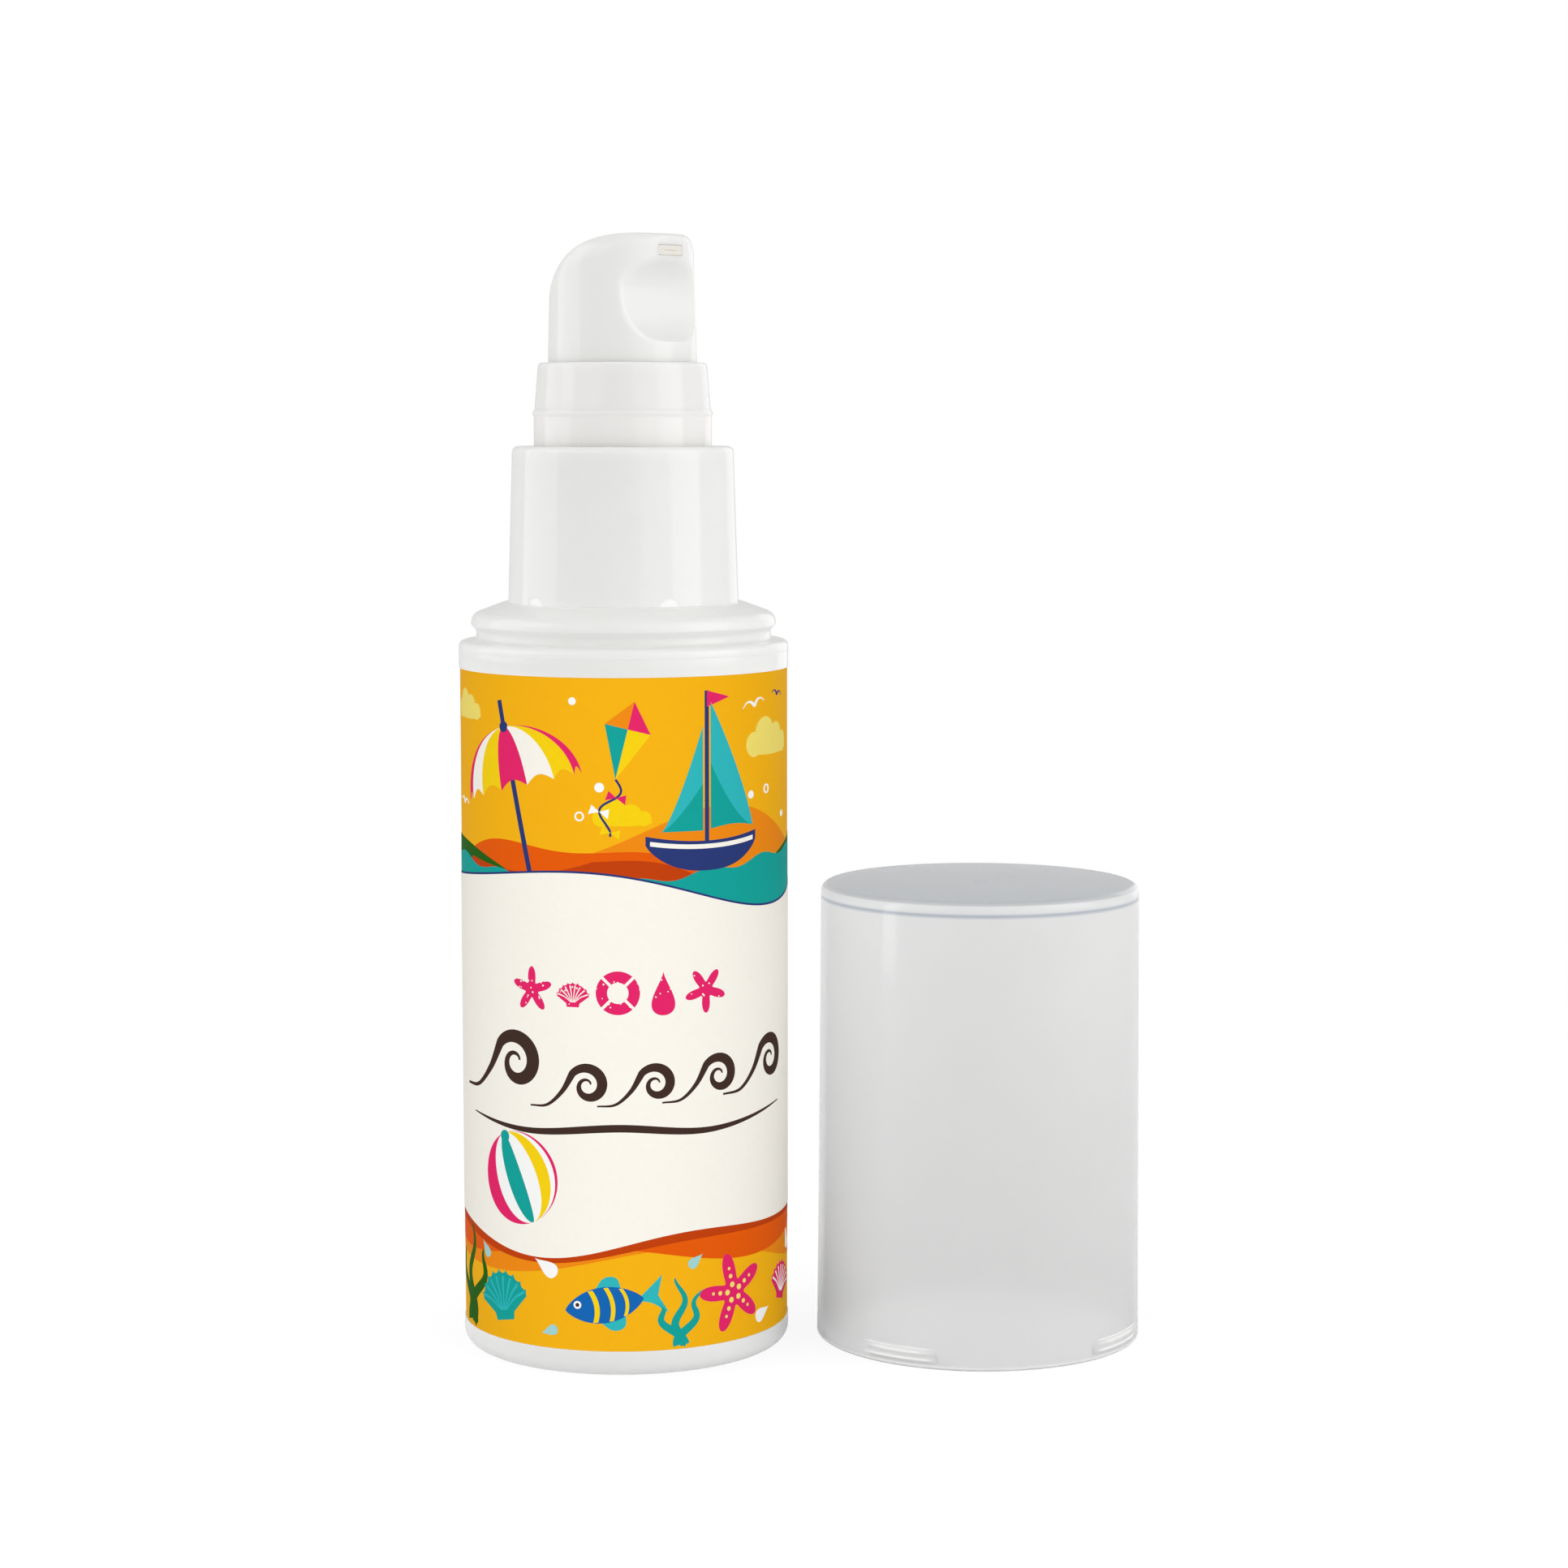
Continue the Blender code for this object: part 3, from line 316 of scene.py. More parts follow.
def turned_skin(outline, columns, closed=True, centre=(0, 0), shape=None):
    """Carries the outline round an upright axis: x = r cos a, y = r sin a, z = h. A shape function
    may change the grid's radii and heights by their angles."""
    angle = np.arange(columns) * math.tau / columns
    radius = np.repeat(outline[:, :1], columns, 1)
    height = np.repeat(outline[:, 1:], columns, 1)
    if shape:
        radius, height = shape(radius, height, angle)
    points = np.stack(
        (centre[0] + radius * np.cos(angle), centre[1] + radius * np.sin(angle), height), -1
    )
    return closed_skin(points, closed, True)


def joined(skins):
    """Several skins as one."""
    start = 0
    points, quads, triangles = [], [], []
    for some_points, some_quads, some_triangles in skins:
        points.append(some_points)
        quads.append(some_quads + start)
        triangles.append(some_triangles + start)
        start += len(some_points)
    return np.concatenate(points), np.concatenate(quads), np.concatenate(triangles)


def add_piece(name, skin, finish, body, slot, replaced=(), marks=None):
    """Makes an object of the skin that rides on a body, in place of the nodes it replaces. Each mark
    is a number at every point, for the material to read. The label casts no colour on the overcap."""
    points, quads, triangles = skin
    old = bpy.data.objects.get(name)
    if old:
        bpy.data.objects.remove(old)
    mesh = bpy.data.meshes.new(name)
    mesh.from_pydata(points.tolist(), [], quads.tolist() + triangles.tolist())
    mesh.materials.append(finish)
    for title, measure in (marks or {}).items():
        layer = mesh.attributes.new(title, "FLOAT", "POINT")
        layer.data.foreach_set("value", measure(points))
    mesh.shade_smooth()
    mesh.set_sharp_from_angle(angle=SHARP_EDGE)
    piece = bpy.data.objects.new(name, mesh)
    bpy.context.scene.collection.objects.link(piece)
    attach(piece, body)
    piece.visible_diffuse = piece.visible_glossy = slot != "label_film"
    if replaced:
        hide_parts(*replaced)
    return piece


# Materials


def add_node(tree, kind, inputs=(), **settings):
    """A new node with its settings, whose inputs are set to values or linked to sockets."""
    node = tree.nodes.new("ShaderNode" + kind)
    for name, value in settings.items():
        setattr(node, name, value)
    for name, value in dict(inputs).items():
        if isinstance(value, bpy.types.NodeSocket):
            tree.links.new(value, node.inputs[name])
        else:
            node.inputs[name].default_value = value
    return node


def plastic(name, colour, roughness, speckle=0.012, bump=0.02, scale=700, **constants):
    """A Principled material for moulded plastic or ink. Noise in Object coordinates varies its
    colour a little, its roughness a little more, and lifts a faint moulded grain."""
    if name in bpy.data.materials:
        return bpy.data.materials[name]
    finish = bpy.data.materials.new(name)
    finish.use_nodes = True
    tree = finish.node_tree
    place = add_node(tree, "TexCoord").outputs["Object"]
    cloud = add_node(tree, "TexNoise", {"Scale": scale, "Detail": 4, "Vector": place}).outputs["Fac"]
    dark, light = (np.minimum(np.array(colour) * part, 1) for part in (1 - speckle, 1 + speckle))
    mix = add_node(tree, "Mix", {"Factor": cloud, "A": (*dark, 1), "B": (*light, 1)}, data_type="RGBA")
    low, high = roughness * (1 - ROUGHNESS_SPREAD), roughness * (1 + ROUGHNESS_SPREAD)
    spread = {"Value": cloud, "To Min": low, "To Max": high}
    grain = add_node(tree, "TexNoise", {"Scale": scale * 4, "Detail": 2, "Vector": place})
    lift = add_node(
        tree, "Bump", {"Strength": bump, "Distance": GRAIN_DEPTH, "Height": grain.outputs["Fac"]}
    )
    shader = tree.nodes["Principled BSDF"]
    tree.links.new(mix.outputs["Result"], shader.inputs["Base Color"])
    tree.links.new(add_node(tree, "MapRange", spread).outputs["Result"], shader.inputs["Roughness"])
    tree.links.new(lift.outputs["Normal"], shader.inputs["Normal"])
    for socket, value in constants.items():
        shader.inputs[socket.replace("_", " ")].default_value = value
    return finish


def tint_by_mark(finish, title, colour):
    """Mixes the base colour towards another where the piece is marked."""
    tree = finish.node_tree
    base = tree.nodes["Principled BSDF"].inputs["Base Color"]
    mark = add_node(tree, "Attribute", attribute_name=title).outputs["Fac"]
    mixed = {"Factor": mark, "A": base.links[0].from_socket, "B": (*colour, 1)}
    tree.links.new(add_node(tree, "Mix", mixed, data_type="RGBA").outputs["Result"], base)


def vary_by_mark(finish, title, socket, plain, marked):
    """Leads one of the shader's numbers to another value where the piece is marked."""
    tree = finish.node_tree
    mark = add_node(tree, "Attribute", attribute_name=title).outputs["Fac"]
    number = add_node(tree, "MapRange", {"Value": mark, "To Min": plain, "To Max": marked})
    tree.links.new(number.outputs["Result"], tree.nodes["Principled BSDF"].inputs[socket])


def moulded(name, colour):
    """White polypropylene as moulded: light goes a little way into it, and its skin is smooth."""
    return plastic(
        name, colour_of(colour), 0.07, bump=0.005, IOR=1.49,
        Subsurface_Weight=0.6, Subsurface_Radius=(1, 1, 1), Subsurface_Scale=0.0012,
    )


def white_plastic():
    return moulded("white_polypropylene", "white")


def ink_finish(ink):
    """Matt ink, which mirrors nearly nothing, so that its colour holds to the label's edges."""
    return plastic(
        f"ink_{ink}", colour_of(ink), 0.6, speckle=0.02, bump=0.03, scale=1500, Specular_IOR_Level=0.02
    )


# Turned pieces


def vent_cut(piece):
    """Cuts the vent through the base with a cylinder and keeps the result as the piece's mesh."""
    size = sizes()
    low, high = -size.body_floor, 2 * size.body_floor
    corners = np.array([(0, low), (size.vent_radius, low), (size.vent_radius, high), (0, high)])
    points, quads, triangles = turned_skin(corners, 48, False, (0, size.vent_offset))
    mesh = bpy.data.meshes.new("vent_cutter")
    mesh.from_pydata(points.tolist(), [], quads.tolist() + triangles.tolist())
    cutter = bpy.data.objects.new("vent_cutter", mesh)
    bpy.context.scene.collection.objects.link(cutter)
    cut = piece.modifiers.new("vent", "BOOLEAN")
    cut.operation = "DIFFERENCE"
    cut.solver = "EXACT"
    cut.object = cutter
    ready = piece.evaluated_get(bpy.context.evaluated_depsgraph_get())
    piece.data = bpy.data.meshes.new_from_object(ready)
    piece.modifiers.clear()
    bpy.data.objects.remove(cutter)


def low_of_flange():
    """Height of the underside of the shoulder's flange, a little over the CAD body's mouth."""
    return high_of("bottle_body") + 0.0002


class BOTTLE_OT_body(bpy.types.Operator):
    """Makes the bottle's moulded body with its label panel, dished base and vent"""

    bl_idname = "bottle.body"
    bl_label = "Bottle body"

    def execute(self, context):
        size = sizes()
        reach, top = reach_of("bottle_body"), low_of_flange() - size.seam
        bore = reach - size.body_wall
        panel = BOXES["wrap_label"][1].x - size.touch_gap
        label_low, label_high = low_of("wrap_label"), high_of("wrap_label")
        foot = reach - size.base_round
        corners = [
            (0, size.body_floor),
            (bore, size.body_floor, size.body_wall),
            (bore, top),
            (reach, top, size.seam),
            (reach, label_high + size.seam, size.seam),
            (panel, label_high + size.seam),
            (panel, label_low - size.seam),
            (reach, label_low - size.seam, size.seam),
            (reach, 0, size.base_round),
            (foot - size.base_round, 0, size.base_rise),
            (foot - 2 * size.base_round, size.base_rise, size.base_rise),
            (0, size.base_rise),
        ]
        outline = arc_outline(corners, 8, closed=False)
        skin = turned_skin(outline, size.facets, False)
        piece = add_piece("bottle_shell", skin, white_plastic(), "bottle", "white_pp", ["bottle_body"])
        vent_cut(piece)
        # Other pieces see the white round it, so that the narrow gaps beside it stay light
        piece.visible_diffuse = False
        return {"FINISHED"}


class BOTTLE_OT_shoulder(bpy.types.Operator):
    """Makes the shoulder ring: flange, snap groove and bead, cone, neck and plug"""

    bl_idname = "bottle.shoulder"
    bl_label = "Shoulder ring"

    def execute(self, context):
        size = sizes()
        reach = reach_of("shoulder_ring")
        top, bottom = high_of("shoulder_ring"), low_of("shoulder_ring")
        seam = low_of_flange()
        groove_low = seam + 0.00095
        bead_low = groove_low + 0.0013
        bead_high = bead_low + 0.0015
        roof = bead_high + 0.001
        bead = reach - size.cap_wall - 0.00023
        plug = reach - size.body_wall - size.touch_gap
        collar = reach_of("snap_collar")
        neck, neck_bead = 0.0099, 0.01075
        land = low_of("snap_collar") - size.seam
        corners = [
            (0.008, top, 0.0002),
            (neck, top, 0.0003),
            (neck, roof + 0.0032, 0.0002),
            (neck_bead, roof + 0.0027, 0.0003),
            (neck_bead, roof + 0.0021, 0.0003),
            (neck, roof + 0.0016, 0.0002),
            (neck, roof, 0.0003),
            (neck + 0.0004, roof),
            (neck + 0.0006, land, 0.0001),
            (collar + size.seam, land),
            (collar + size.seam, land + 0.0001, 0.00002),
            (collar + 0.0006, land + 0.00006, 0.0003),
            (bead, bead_high, 0.00125),
            (bead, bead_low + 0.0004, 0.00012),
            (reach - 0.0019, bead_low - 0.0002, 0.0006),
            (reach - 0.00185, groove_low + 0.00025, 0.0004),
            (reach, groove_low - 0.00005, 0.0006),
            (reach, seam, size.seam),
            (plug, seam),
            (plug, bottom, 0.0003),
            (plug - 0.0012, bottom, 0.0003),
            (plug - 0.0012, bead_high - 0.0016),
            (collar, roof - 0.0016),
            (0.008, roof - 0.0016),
        ]
        skin = turned_skin(arc_outline(corners, 7), size.facets)
        piece = add_piece("shoulder_shell", skin, white_plastic(), "bottle", "white_pp", ["shoulder_ring"])
        # Left out for the same reason as the body
        piece.visible_diffuse = False
        return {"FINISHED"}


class BOTTLE_OT_collar(bpy.types.Operator):
    """Makes the snap collar, with a shallow window over each lug at its lower edge"""

    bl_idname = "bottle.collar"
    bl_label = "Snap collar"

    lug_count = 5
    first_lug = math.radians(223.75)
    lug_half_width = math.radians(4.5)
    lug_slope = math.radians(0.8)
    lug_low, lug_high, lug_rise = 0.00025, 0.00125, 0.00085
    window_rim = 0.2

    def shape(self, radius, height, angle):
        """A window is a half ellipse on the lower edge, sunk with a soft rim. Each lug stands
        inwards from the wall over a few degrees."""
        size = sizes()
        foot = low_of("snap_collar")
        outer = radius > reach_of("snap_collar") - size.collar_taper - size.collar_wall / 2
        sunk = size.window_depth * self.window(radius, height, angle)
        lug = np.clip((self.lug_half_width - np.abs(self.off_lug(angle))) / self.lug_slope, 0, 1)
        at_lug = (height > foot + self.lug_low) & (height < foot + self.lug_high) & ~outer
        return radius - sunk - self.lug_rise * lug * at_lug, height

    def off_lug(self, angle):
        """The angle from the nearest lug."""
        turn = math.tau / self.lug_count
        return (angle - self.first_lug + turn / 2) % turn - turn / 2

    def window(self, radius, height, angle):
        """1 in a window, falling to 0 over its rim."""
        size = sizes()
        reach = reach_of("snap_collar")
        across = self.off_lug(angle) * reach / (size.window_width / 2)
        up = (height - low_of("snap_collar")) / size.window_height
        inside = 1 - np.sqrt(across ** 2 + up ** 2)
        outer = radius > reach - size.collar_taper - size.collar_wall / 2
        return np.clip(inside / self.window_rim, 0, 1) * outer

    def execute(self, context):
        size = sizes()
        foot, top, reach = low_of("snap_collar"), high_of("snap_collar"), reach_of("snap_collar")
        top_reach = reach - size.collar_taper
        hole = reach_of_sleeve() + size.touch_gap
        bore = reach - size.collar_wall
        corners = [
            (hole, top, 0.00015),
            (top_reach, top, 0.0006),
            (reach - 0.00003, foot + 0.0012),
            (reach, foot, 0.00004),
            (bore, foot, 0.0002),
            (bore, foot + 0.0003),
            (bore, foot + 0.0012),
            (top_reach - size.collar_wall + size.touch_gap, top - size.collar_roof, 0.0003),
            (hole, top - size.collar_roof),
        ]
        arc = 6
        outline = arc_outline(corners, arc)
        # The outside, from the last point of the second arc to the first point of the fourth
        outline = subdivided(outline, 2 * arc + 1, 3 * arc + 4, 0.00008)
        skin = turned_skin(outline, 2 * size.facets, shape=self.shape)
        finish = moulded("collar_polypropylene", "white")
        # Painted highlight: the windows are tinted lighter
        tint_by_mark(finish, "window", colour_of("window"))

        def window(points):
            radius = np.hypot(points[:, 0], points[:, 1])
            return self.window(radius, points[:, 2], np.arctan2(points[:, 1], points[:, 0]))

        marks = {"window": window}
        add_piece("collar_shell", skin, finish, "bottle", "white_pp", ["snap_collar"], marks)
        return {"FINISHED"}


def reach_of_sleeve():
    """The sleeve's outer radius above its flange, which is 1.3 mm wide."""
    return reach_of("guide_sleeve") - 0.0013


class BOTTLE_OT_sleeve(bpy.types.Operator):
    """Makes the guide sleeve with its flange, bead, crown and the step in its mouth"""

    bl_idname = "bottle.sleeve"
    bl_label = "Guide sleeve"

    def execute(self, context):
        size = sizes()
        low, top, flange = low_of("guide_sleeve"), high_of("guide_sleeve"), reach_of("guide_sleeve")
        outer = reach_of_sleeve()
        bore = outer - size.sleeve_wall
        bead_low = high_of("snap_collar") + 0.0031
        mouth = reach_of("actuator_head") + HEAD_PLAY
        corners = [
            (bore, top - 0.0008),
            (mouth, top - 0.0006),
            (mouth, top, 0.00008),
            (outer - 0.0005, top, 0.0004),
            (outer - 0.0001, bead_low + 0.0008, 0.0002),
            (outer + 0.00015, bead_low + 0.0004, 0.0003),
            (outer, bead_low, 0.0002),
            (outer, low + 0.001),
            (flange, low + 0.001, 0.0002),
            (flange, low, 0.0002),
            (bore, low),
        ]
        skin = turned_skin(arc_outline(corners, 6), size.facets)
        finish = moulded("sleeve_polypropylene", "sleeve")
        # The sleeve under its bead is tinted lighter: painted light against the collar's shade
        tint_by_mark(finish, "lower", colour_of("painted_sleeve_light"))
        marks = {"lower": lambda points: 1.0 * (points[:, 2] < bead_low + 0.0002)}
        add_piece("sleeve_shell", skin, finish, "bottle", "white_pp", ["guide_sleeve"], marks)
        return {"FINISHED"}


# Pump head


HEAD_TURN = math.radians(-44)
HEAD_TAPER = 0.00035
HEAD_CREST_AHEAD = 0.007
HEAD_BACK_DROP = 0.0077
SCOOP_BELOW_TOP = 0.00565
SCOOP_SOFTER = 1.8
SCOOP_POWERS = (0.9, 0.5)
SLOT_BELOW_TOP = 0.00175
SLOT_HALF_WIDTH = 0.001655
SLOT_HALF_HEIGHT = 0.000505
SLOT_FLOOR = 0.0041
FRONT_FLAT = 0.00022
FLAT_HALF_HEIGHT = 0.0013
FLAT_SOFT = 0.00006
EDGE_STEP = 0.00001
WALL_STEP = 0.00016
CROWN_ROWS = 27
EDGE_ROWS = 9
SKIRT_WALL = 0.0011
FALL_START = math.radians(15)
FALL_SPAN = math.radians(30)


def soft_min(one, two, width):
    """The lesser of two values, rounded by a parabola where they are within a width of each other."""
    lean = np.clip(0.5 + 0.5 * (two - one) / width, 0, 1)
    return two * (1 - lean) + one * lean - width * lean * (1 - lean)


def head_top(ahead):
    """Height of the head's top, an arc that is highest near the nozzle and falls to the back."""
    span = reach_of("actuator_head") - HEAD_TAPER + HEAD_CREST_AHEAD
    radius = (span ** 2 + HEAD_BACK_DROP ** 2) / (2 * HEAD_BACK_DROP)
    middle = high_of("actuator_head") - radius
    return middle + np.sqrt(radius ** 2 - (ahead - HEAD_CREST_AHEAD) ** 2)


def head_wall(height):
    """Radius of the head's wall: straight inside the sleeve, then a straight taper."""
    start, top = high_of("guide_sleeve"), high_of("actuator_head")
    return reach_of("actuator_head") - HEAD_TAPER * np.clip((height - start) / (top - start), 0, 1)


def head_fall(size, angle):
    """How far the top edge falls: little near the nozzle, and more beside it, where the cubic
    3 p^2 - 2 p^3 leads from one fall to the other."""
    off = np.abs((angle + math.pi) % math.tau - math.pi)
    part = np.clip((off - FALL_START) / FALL_SPAN, 0, 1)
    return size.head_fall + (size.side_fall - size.head_fall) * part ** 2 * (3 - 2 * part)


def head_angles(size):
    """Even steps round the head, with two more at each side edge of the nozzle's slot."""
    even = np.arange(2 * size.facets) * math.tau / (2 * size.facets)
    edge = math.asin(SLOT_HALF_WIDTH / head_wall(high_of("actuator_head") - SLOT_BELOW_TOP))
    step = EDGE_STEP / reach_of("actuator_head")
    extra = np.array([edge, edge + step, math.tau - edge, math.tau - edge - step])
    apart = np.abs(even[:, None] - extra).min(1) > math.radians(0.3)
    return np.sort(np.concatenate((even[apart], extra)))


def head_points(size):
    """The head's outside and inside as one grid, from the crown's pole down the outside, round the
    skirt's rim and up the inside to the riser's pole. The wall's distance ahead is the lesser of
    its round and of the scoop's, softly joined, and of a narrow flat round the slot. In height the
    scoop is close to a parabola over its deepest level, where its edge gets softer towards the top,
    and a quarter ellipse under it."""
    top, foot = high_of("actuator_head"), low_of("actuator_head")
    angle = head_angles(size)
    tip = reach_of("actuator_head") - HEAD_TAPER
    rim = tip - size.head_round
    rows = []
    for part in np.sin(np.linspace(0, math.pi / 2, CROWN_ROWS + 1)[:-1]):
        radius = rim * part * np.ones(len(angle))
        rows.append((radius, head_top(radius * np.cos(angle))))
    edge = head_top(tip * np.cos(angle))
    for lean in np.linspace(math.pi / 2, 0, EDGE_ROWS):
        height = edge - head_fall(size, angle) * (1 - math.sin(lean))
        rows.append((head_wall(height) - size.head_round * (1 - math.cos(lean)), height))
    wall_top = edge - head_fall(size, angle)
    front = wall_top[0]
    slot = top - SLOT_BELOW_TOP
    even = np.arange(front, foot, -WALL_STEP)[1:]
    steps = [slot + side * (SLOT_HALF_HEIGHT + more) for side in (1, -1) for more in (EDGE_STEP, 0)]
    apart = np.abs(even[:, None] - np.array(steps)).min(1) > EDGE_STEP * 4
    for level in np.sort(np.concatenate((even[apart], steps)))[::-1]:
        height = foot + (wall_top - foot) * (level - foot) / (front - foot)
        rows.append((head_wall(height), height))
    radius, height = (np.array([row[k] for row in rows]) for k in (0, 1))
    ahead, aside = radius * np.cos(angle), radius * np.sin(angle)
    number = np.arange(len(rows))[:, None]
    wall = number >= CROWN_ROWS + EDGE_ROWS - 1
    rise = height - (top - SCOOP_BELOW_TOP)
    upper = rise > 0
    rise = np.minimum(np.where(upper, rise / size.scoop_above, -rise / size.scoop_below), 1)
    soft = size.scoop_soft * (1 + SCOOP_SOFTER * rise * upper)
    hollow = (1 - rise ** 2) ** np.where(upper, *SCOOP_POWERS)
    cut = head_wall(height) + soft - (size.scoop_depth + soft) * hollow
    ahead = np.where(wall, soft_min(ahead, cut, soft), ahead)
    flat_here = FRONT_FLAT * np.clip(2 - np.abs(height - slot) / FLAT_HALF_HEIGHT, 0, 1)
    flat = soft_min(ahead, head_wall(height) - flat_here, FLAT_SOFT)
    ahead = np.where(number >= CROWN_ROWS, flat, ahead)
    in_slot = (np.abs(height - slot) < SLOT_HALF_HEIGHT + EDGE_STEP / 2) & wall
    in_slot &= (np.abs(aside) < SLOT_HALF_WIDTH + EDGE_STEP / 2) & (np.cos(angle) > 0)
    ahead = np.where(in_slot, SLOT_FLOOR, ahead)
    skirt = reach_of("actuator_head") - SKIRT_WALL
    # Skirt, the space between skirt and socket, the socket, and the riser over it
    inner = np.array([
        (skirt + 0.0007, foot), (skirt + 0.0003, foot), (skirt, foot + 0.0003), (skirt, foot + 0.0052),
        (skirt - 0.0003, foot + 0.0054), (0.0045, foot + 0.0054), (0.0042, foot + 0.0051),
        (0.0042, foot + 0.0012), (0.0041, foot + 0.0011), (0.0031, foot + 0.0011), (0.0029, foot + 0.0013),
        (0.0029, foot + 0.0066), (0.0012, foot + 0.0066), (0.0012, top - 0.0032), (0, top - 0.0032),
    ])
    ahead = np.concatenate((ahead, inner[:, :1] * np.cos(angle)))
    aside = np.concatenate((aside, inner[:, :1] * np.sin(angle)))
    height = np.concatenate((height, np.repeat(inner[:, 1:], len(angle), 1)))
    return head_frame(ahead, aside, height)


def head_frame(ahead, aside, height):
    """Points given along and across the nozzle's direction, turned into the frame."""
    along, across = math.cos(HEAD_TURN), math.sin(HEAD_TURN)
    return np.stack((ahead * along - aside * across, ahead * across + aside * along, height), -1)


class BOTTLE_OT_head(bpy.types.Operator):
    """Makes the pump head with its sloping top, finger scoop, slot, skirt and socket"""

    bl_idname = "bottle.head"
    bl_label = "Pump head"

    def execute(self, context):
        skin = closed_skin(head_points(sizes()), False, True)
        add_piece("head_shell", skin, white_plastic(), "head", "white_pp", ["actuator_head"])
        return {"FINISHED"}


class BOTTLE_OT_nozzle(bpy.types.Operator):
    """Makes the cream insert with its slit"""

    bl_idname = "bottle.nozzle"
    bl_label = "Nozzle insert"

    def execute(self, context):
        """The section's corners run round the front, the slit and the back. Each carries a rounded
        rectangle, y = a sgn(cos t)|cos t|^p, z = b sgn(sin t)|sin t|^p."""
        front = head_wall(high_of("nozzle_insert")) - FRONT_FLAT - EDGE_STEP
        depth, chamfer = 0.0028, 0.000006
        back = front - depth
        outer, slit = np.array((0.00165, 0.0005)), np.array((0.0008, 0.00001))
        rows = [
            (back, outer), (front - chamfer, outer), (front, outer - chamfer),
            (front, slit + chamfer), (front - chamfer, slit), (back, slit),
        ]
        circle = ring_path(96)
        rounded = np.sign(circle) * np.abs(circle) ** 0.15
        ahead = np.array([np.full(len(circle), x) for x, _ in rows])
        aside, height = (np.array([half[k] * rounded[:, k] for _, half in rows]) for k in (0, 1))
        height += high_of("actuator_head") - SLOT_BELOW_TOP
        skin = closed_skin(head_frame(ahead, aside, height), True, True)
        finish = plastic("cream_polypropylene", colour_of("cream_part"), 0.4)
        add_piece("nozzle_tip", skin, finish, "head", "cream_pp", ["nozzle_insert"])
        return {"FINISHED"}


# Overcap


def natural_plastic():
    """Natural polypropylene. By height it has a line of painted shade and a line of painted highlight at the
    rim, is milky in the wall, has a line of painted shade where the roof's underside meets the wall, a
    band of painted highlight in the rounded edge over that, and painted grey shade on its top. Marks tell
    its inside, which is more frosted, and the painted glints, which light doesn't go into."""
    finish = plastic(
        "natural_polypropylene", colour_of("clear"), 0.3, bump=0.01, scale=250, IOR=1.49,
        Transmission_Weight=0.5, Subsurface_Weight=0.5, Subsurface_Radius=(1, 1, 1),
        Subsurface_Scale=0.0008,
    )
    tree = finish.node_tree
    shader = tree.nodes["Principled BSDF"]
    top = high_of("overcap")
    place = add_node(tree, "TexCoord").outputs["Object"]
    height = add_node(tree, "SeparateXYZ", {"Vector": place}).outputs["Z"]
    part = add_node(tree, "Math", {0: height, 1: top}, operation="DIVIDE").outputs[0]
    ramp = add_node(tree, "ValToRGB", {"Fac": part})
    # Heights, and the colours there: painted shade and a painted highlight at the rim, painted shade at the
    # roof line, a painted highlight on the rounded edge, and painted grey shade on the top
    steps = (
        (0.0, "painted_grey_shade"), (0.00008, "painted_grey_shade"), (0.00018, "painted_edge_light"), (0.00034, "painted_edge_light"),
        (0.0005, "clear"), (top - 0.0017, "clear"),
        (top - 0.00142, "clear_line"), (top - 0.00128, "clear_line"), (top - 0.00112, "painted_edge_light"),
        (top - 0.0001, "painted_edge_light"), (top - 0.00002, "painted_grey_shade"),
    )
    points = ramp.color_ramp.elements
    points[0].color = (*colour_of(steps[0][1]), 1)
    points[-1].color = (*colour_of(steps[-1][1]), 1)
    for step, colour in steps[1:]:
        points.new(step / top).color = (*colour_of(colour), 1)
    tree.links.new(ramp.outputs["Color"], shader.inputs["Base Color"])
    vary_by_mark(finish, "inside", "Roughness", 0.07, 0.45)
    tint_by_mark(finish, "glint", colour_of("glint"))
    for socket in ("Subsurface Weight", "Transmission Weight"):
        vary_by_mark(finish, "glint", socket, shader.inputs[socket].default_value, 0)
    return finish


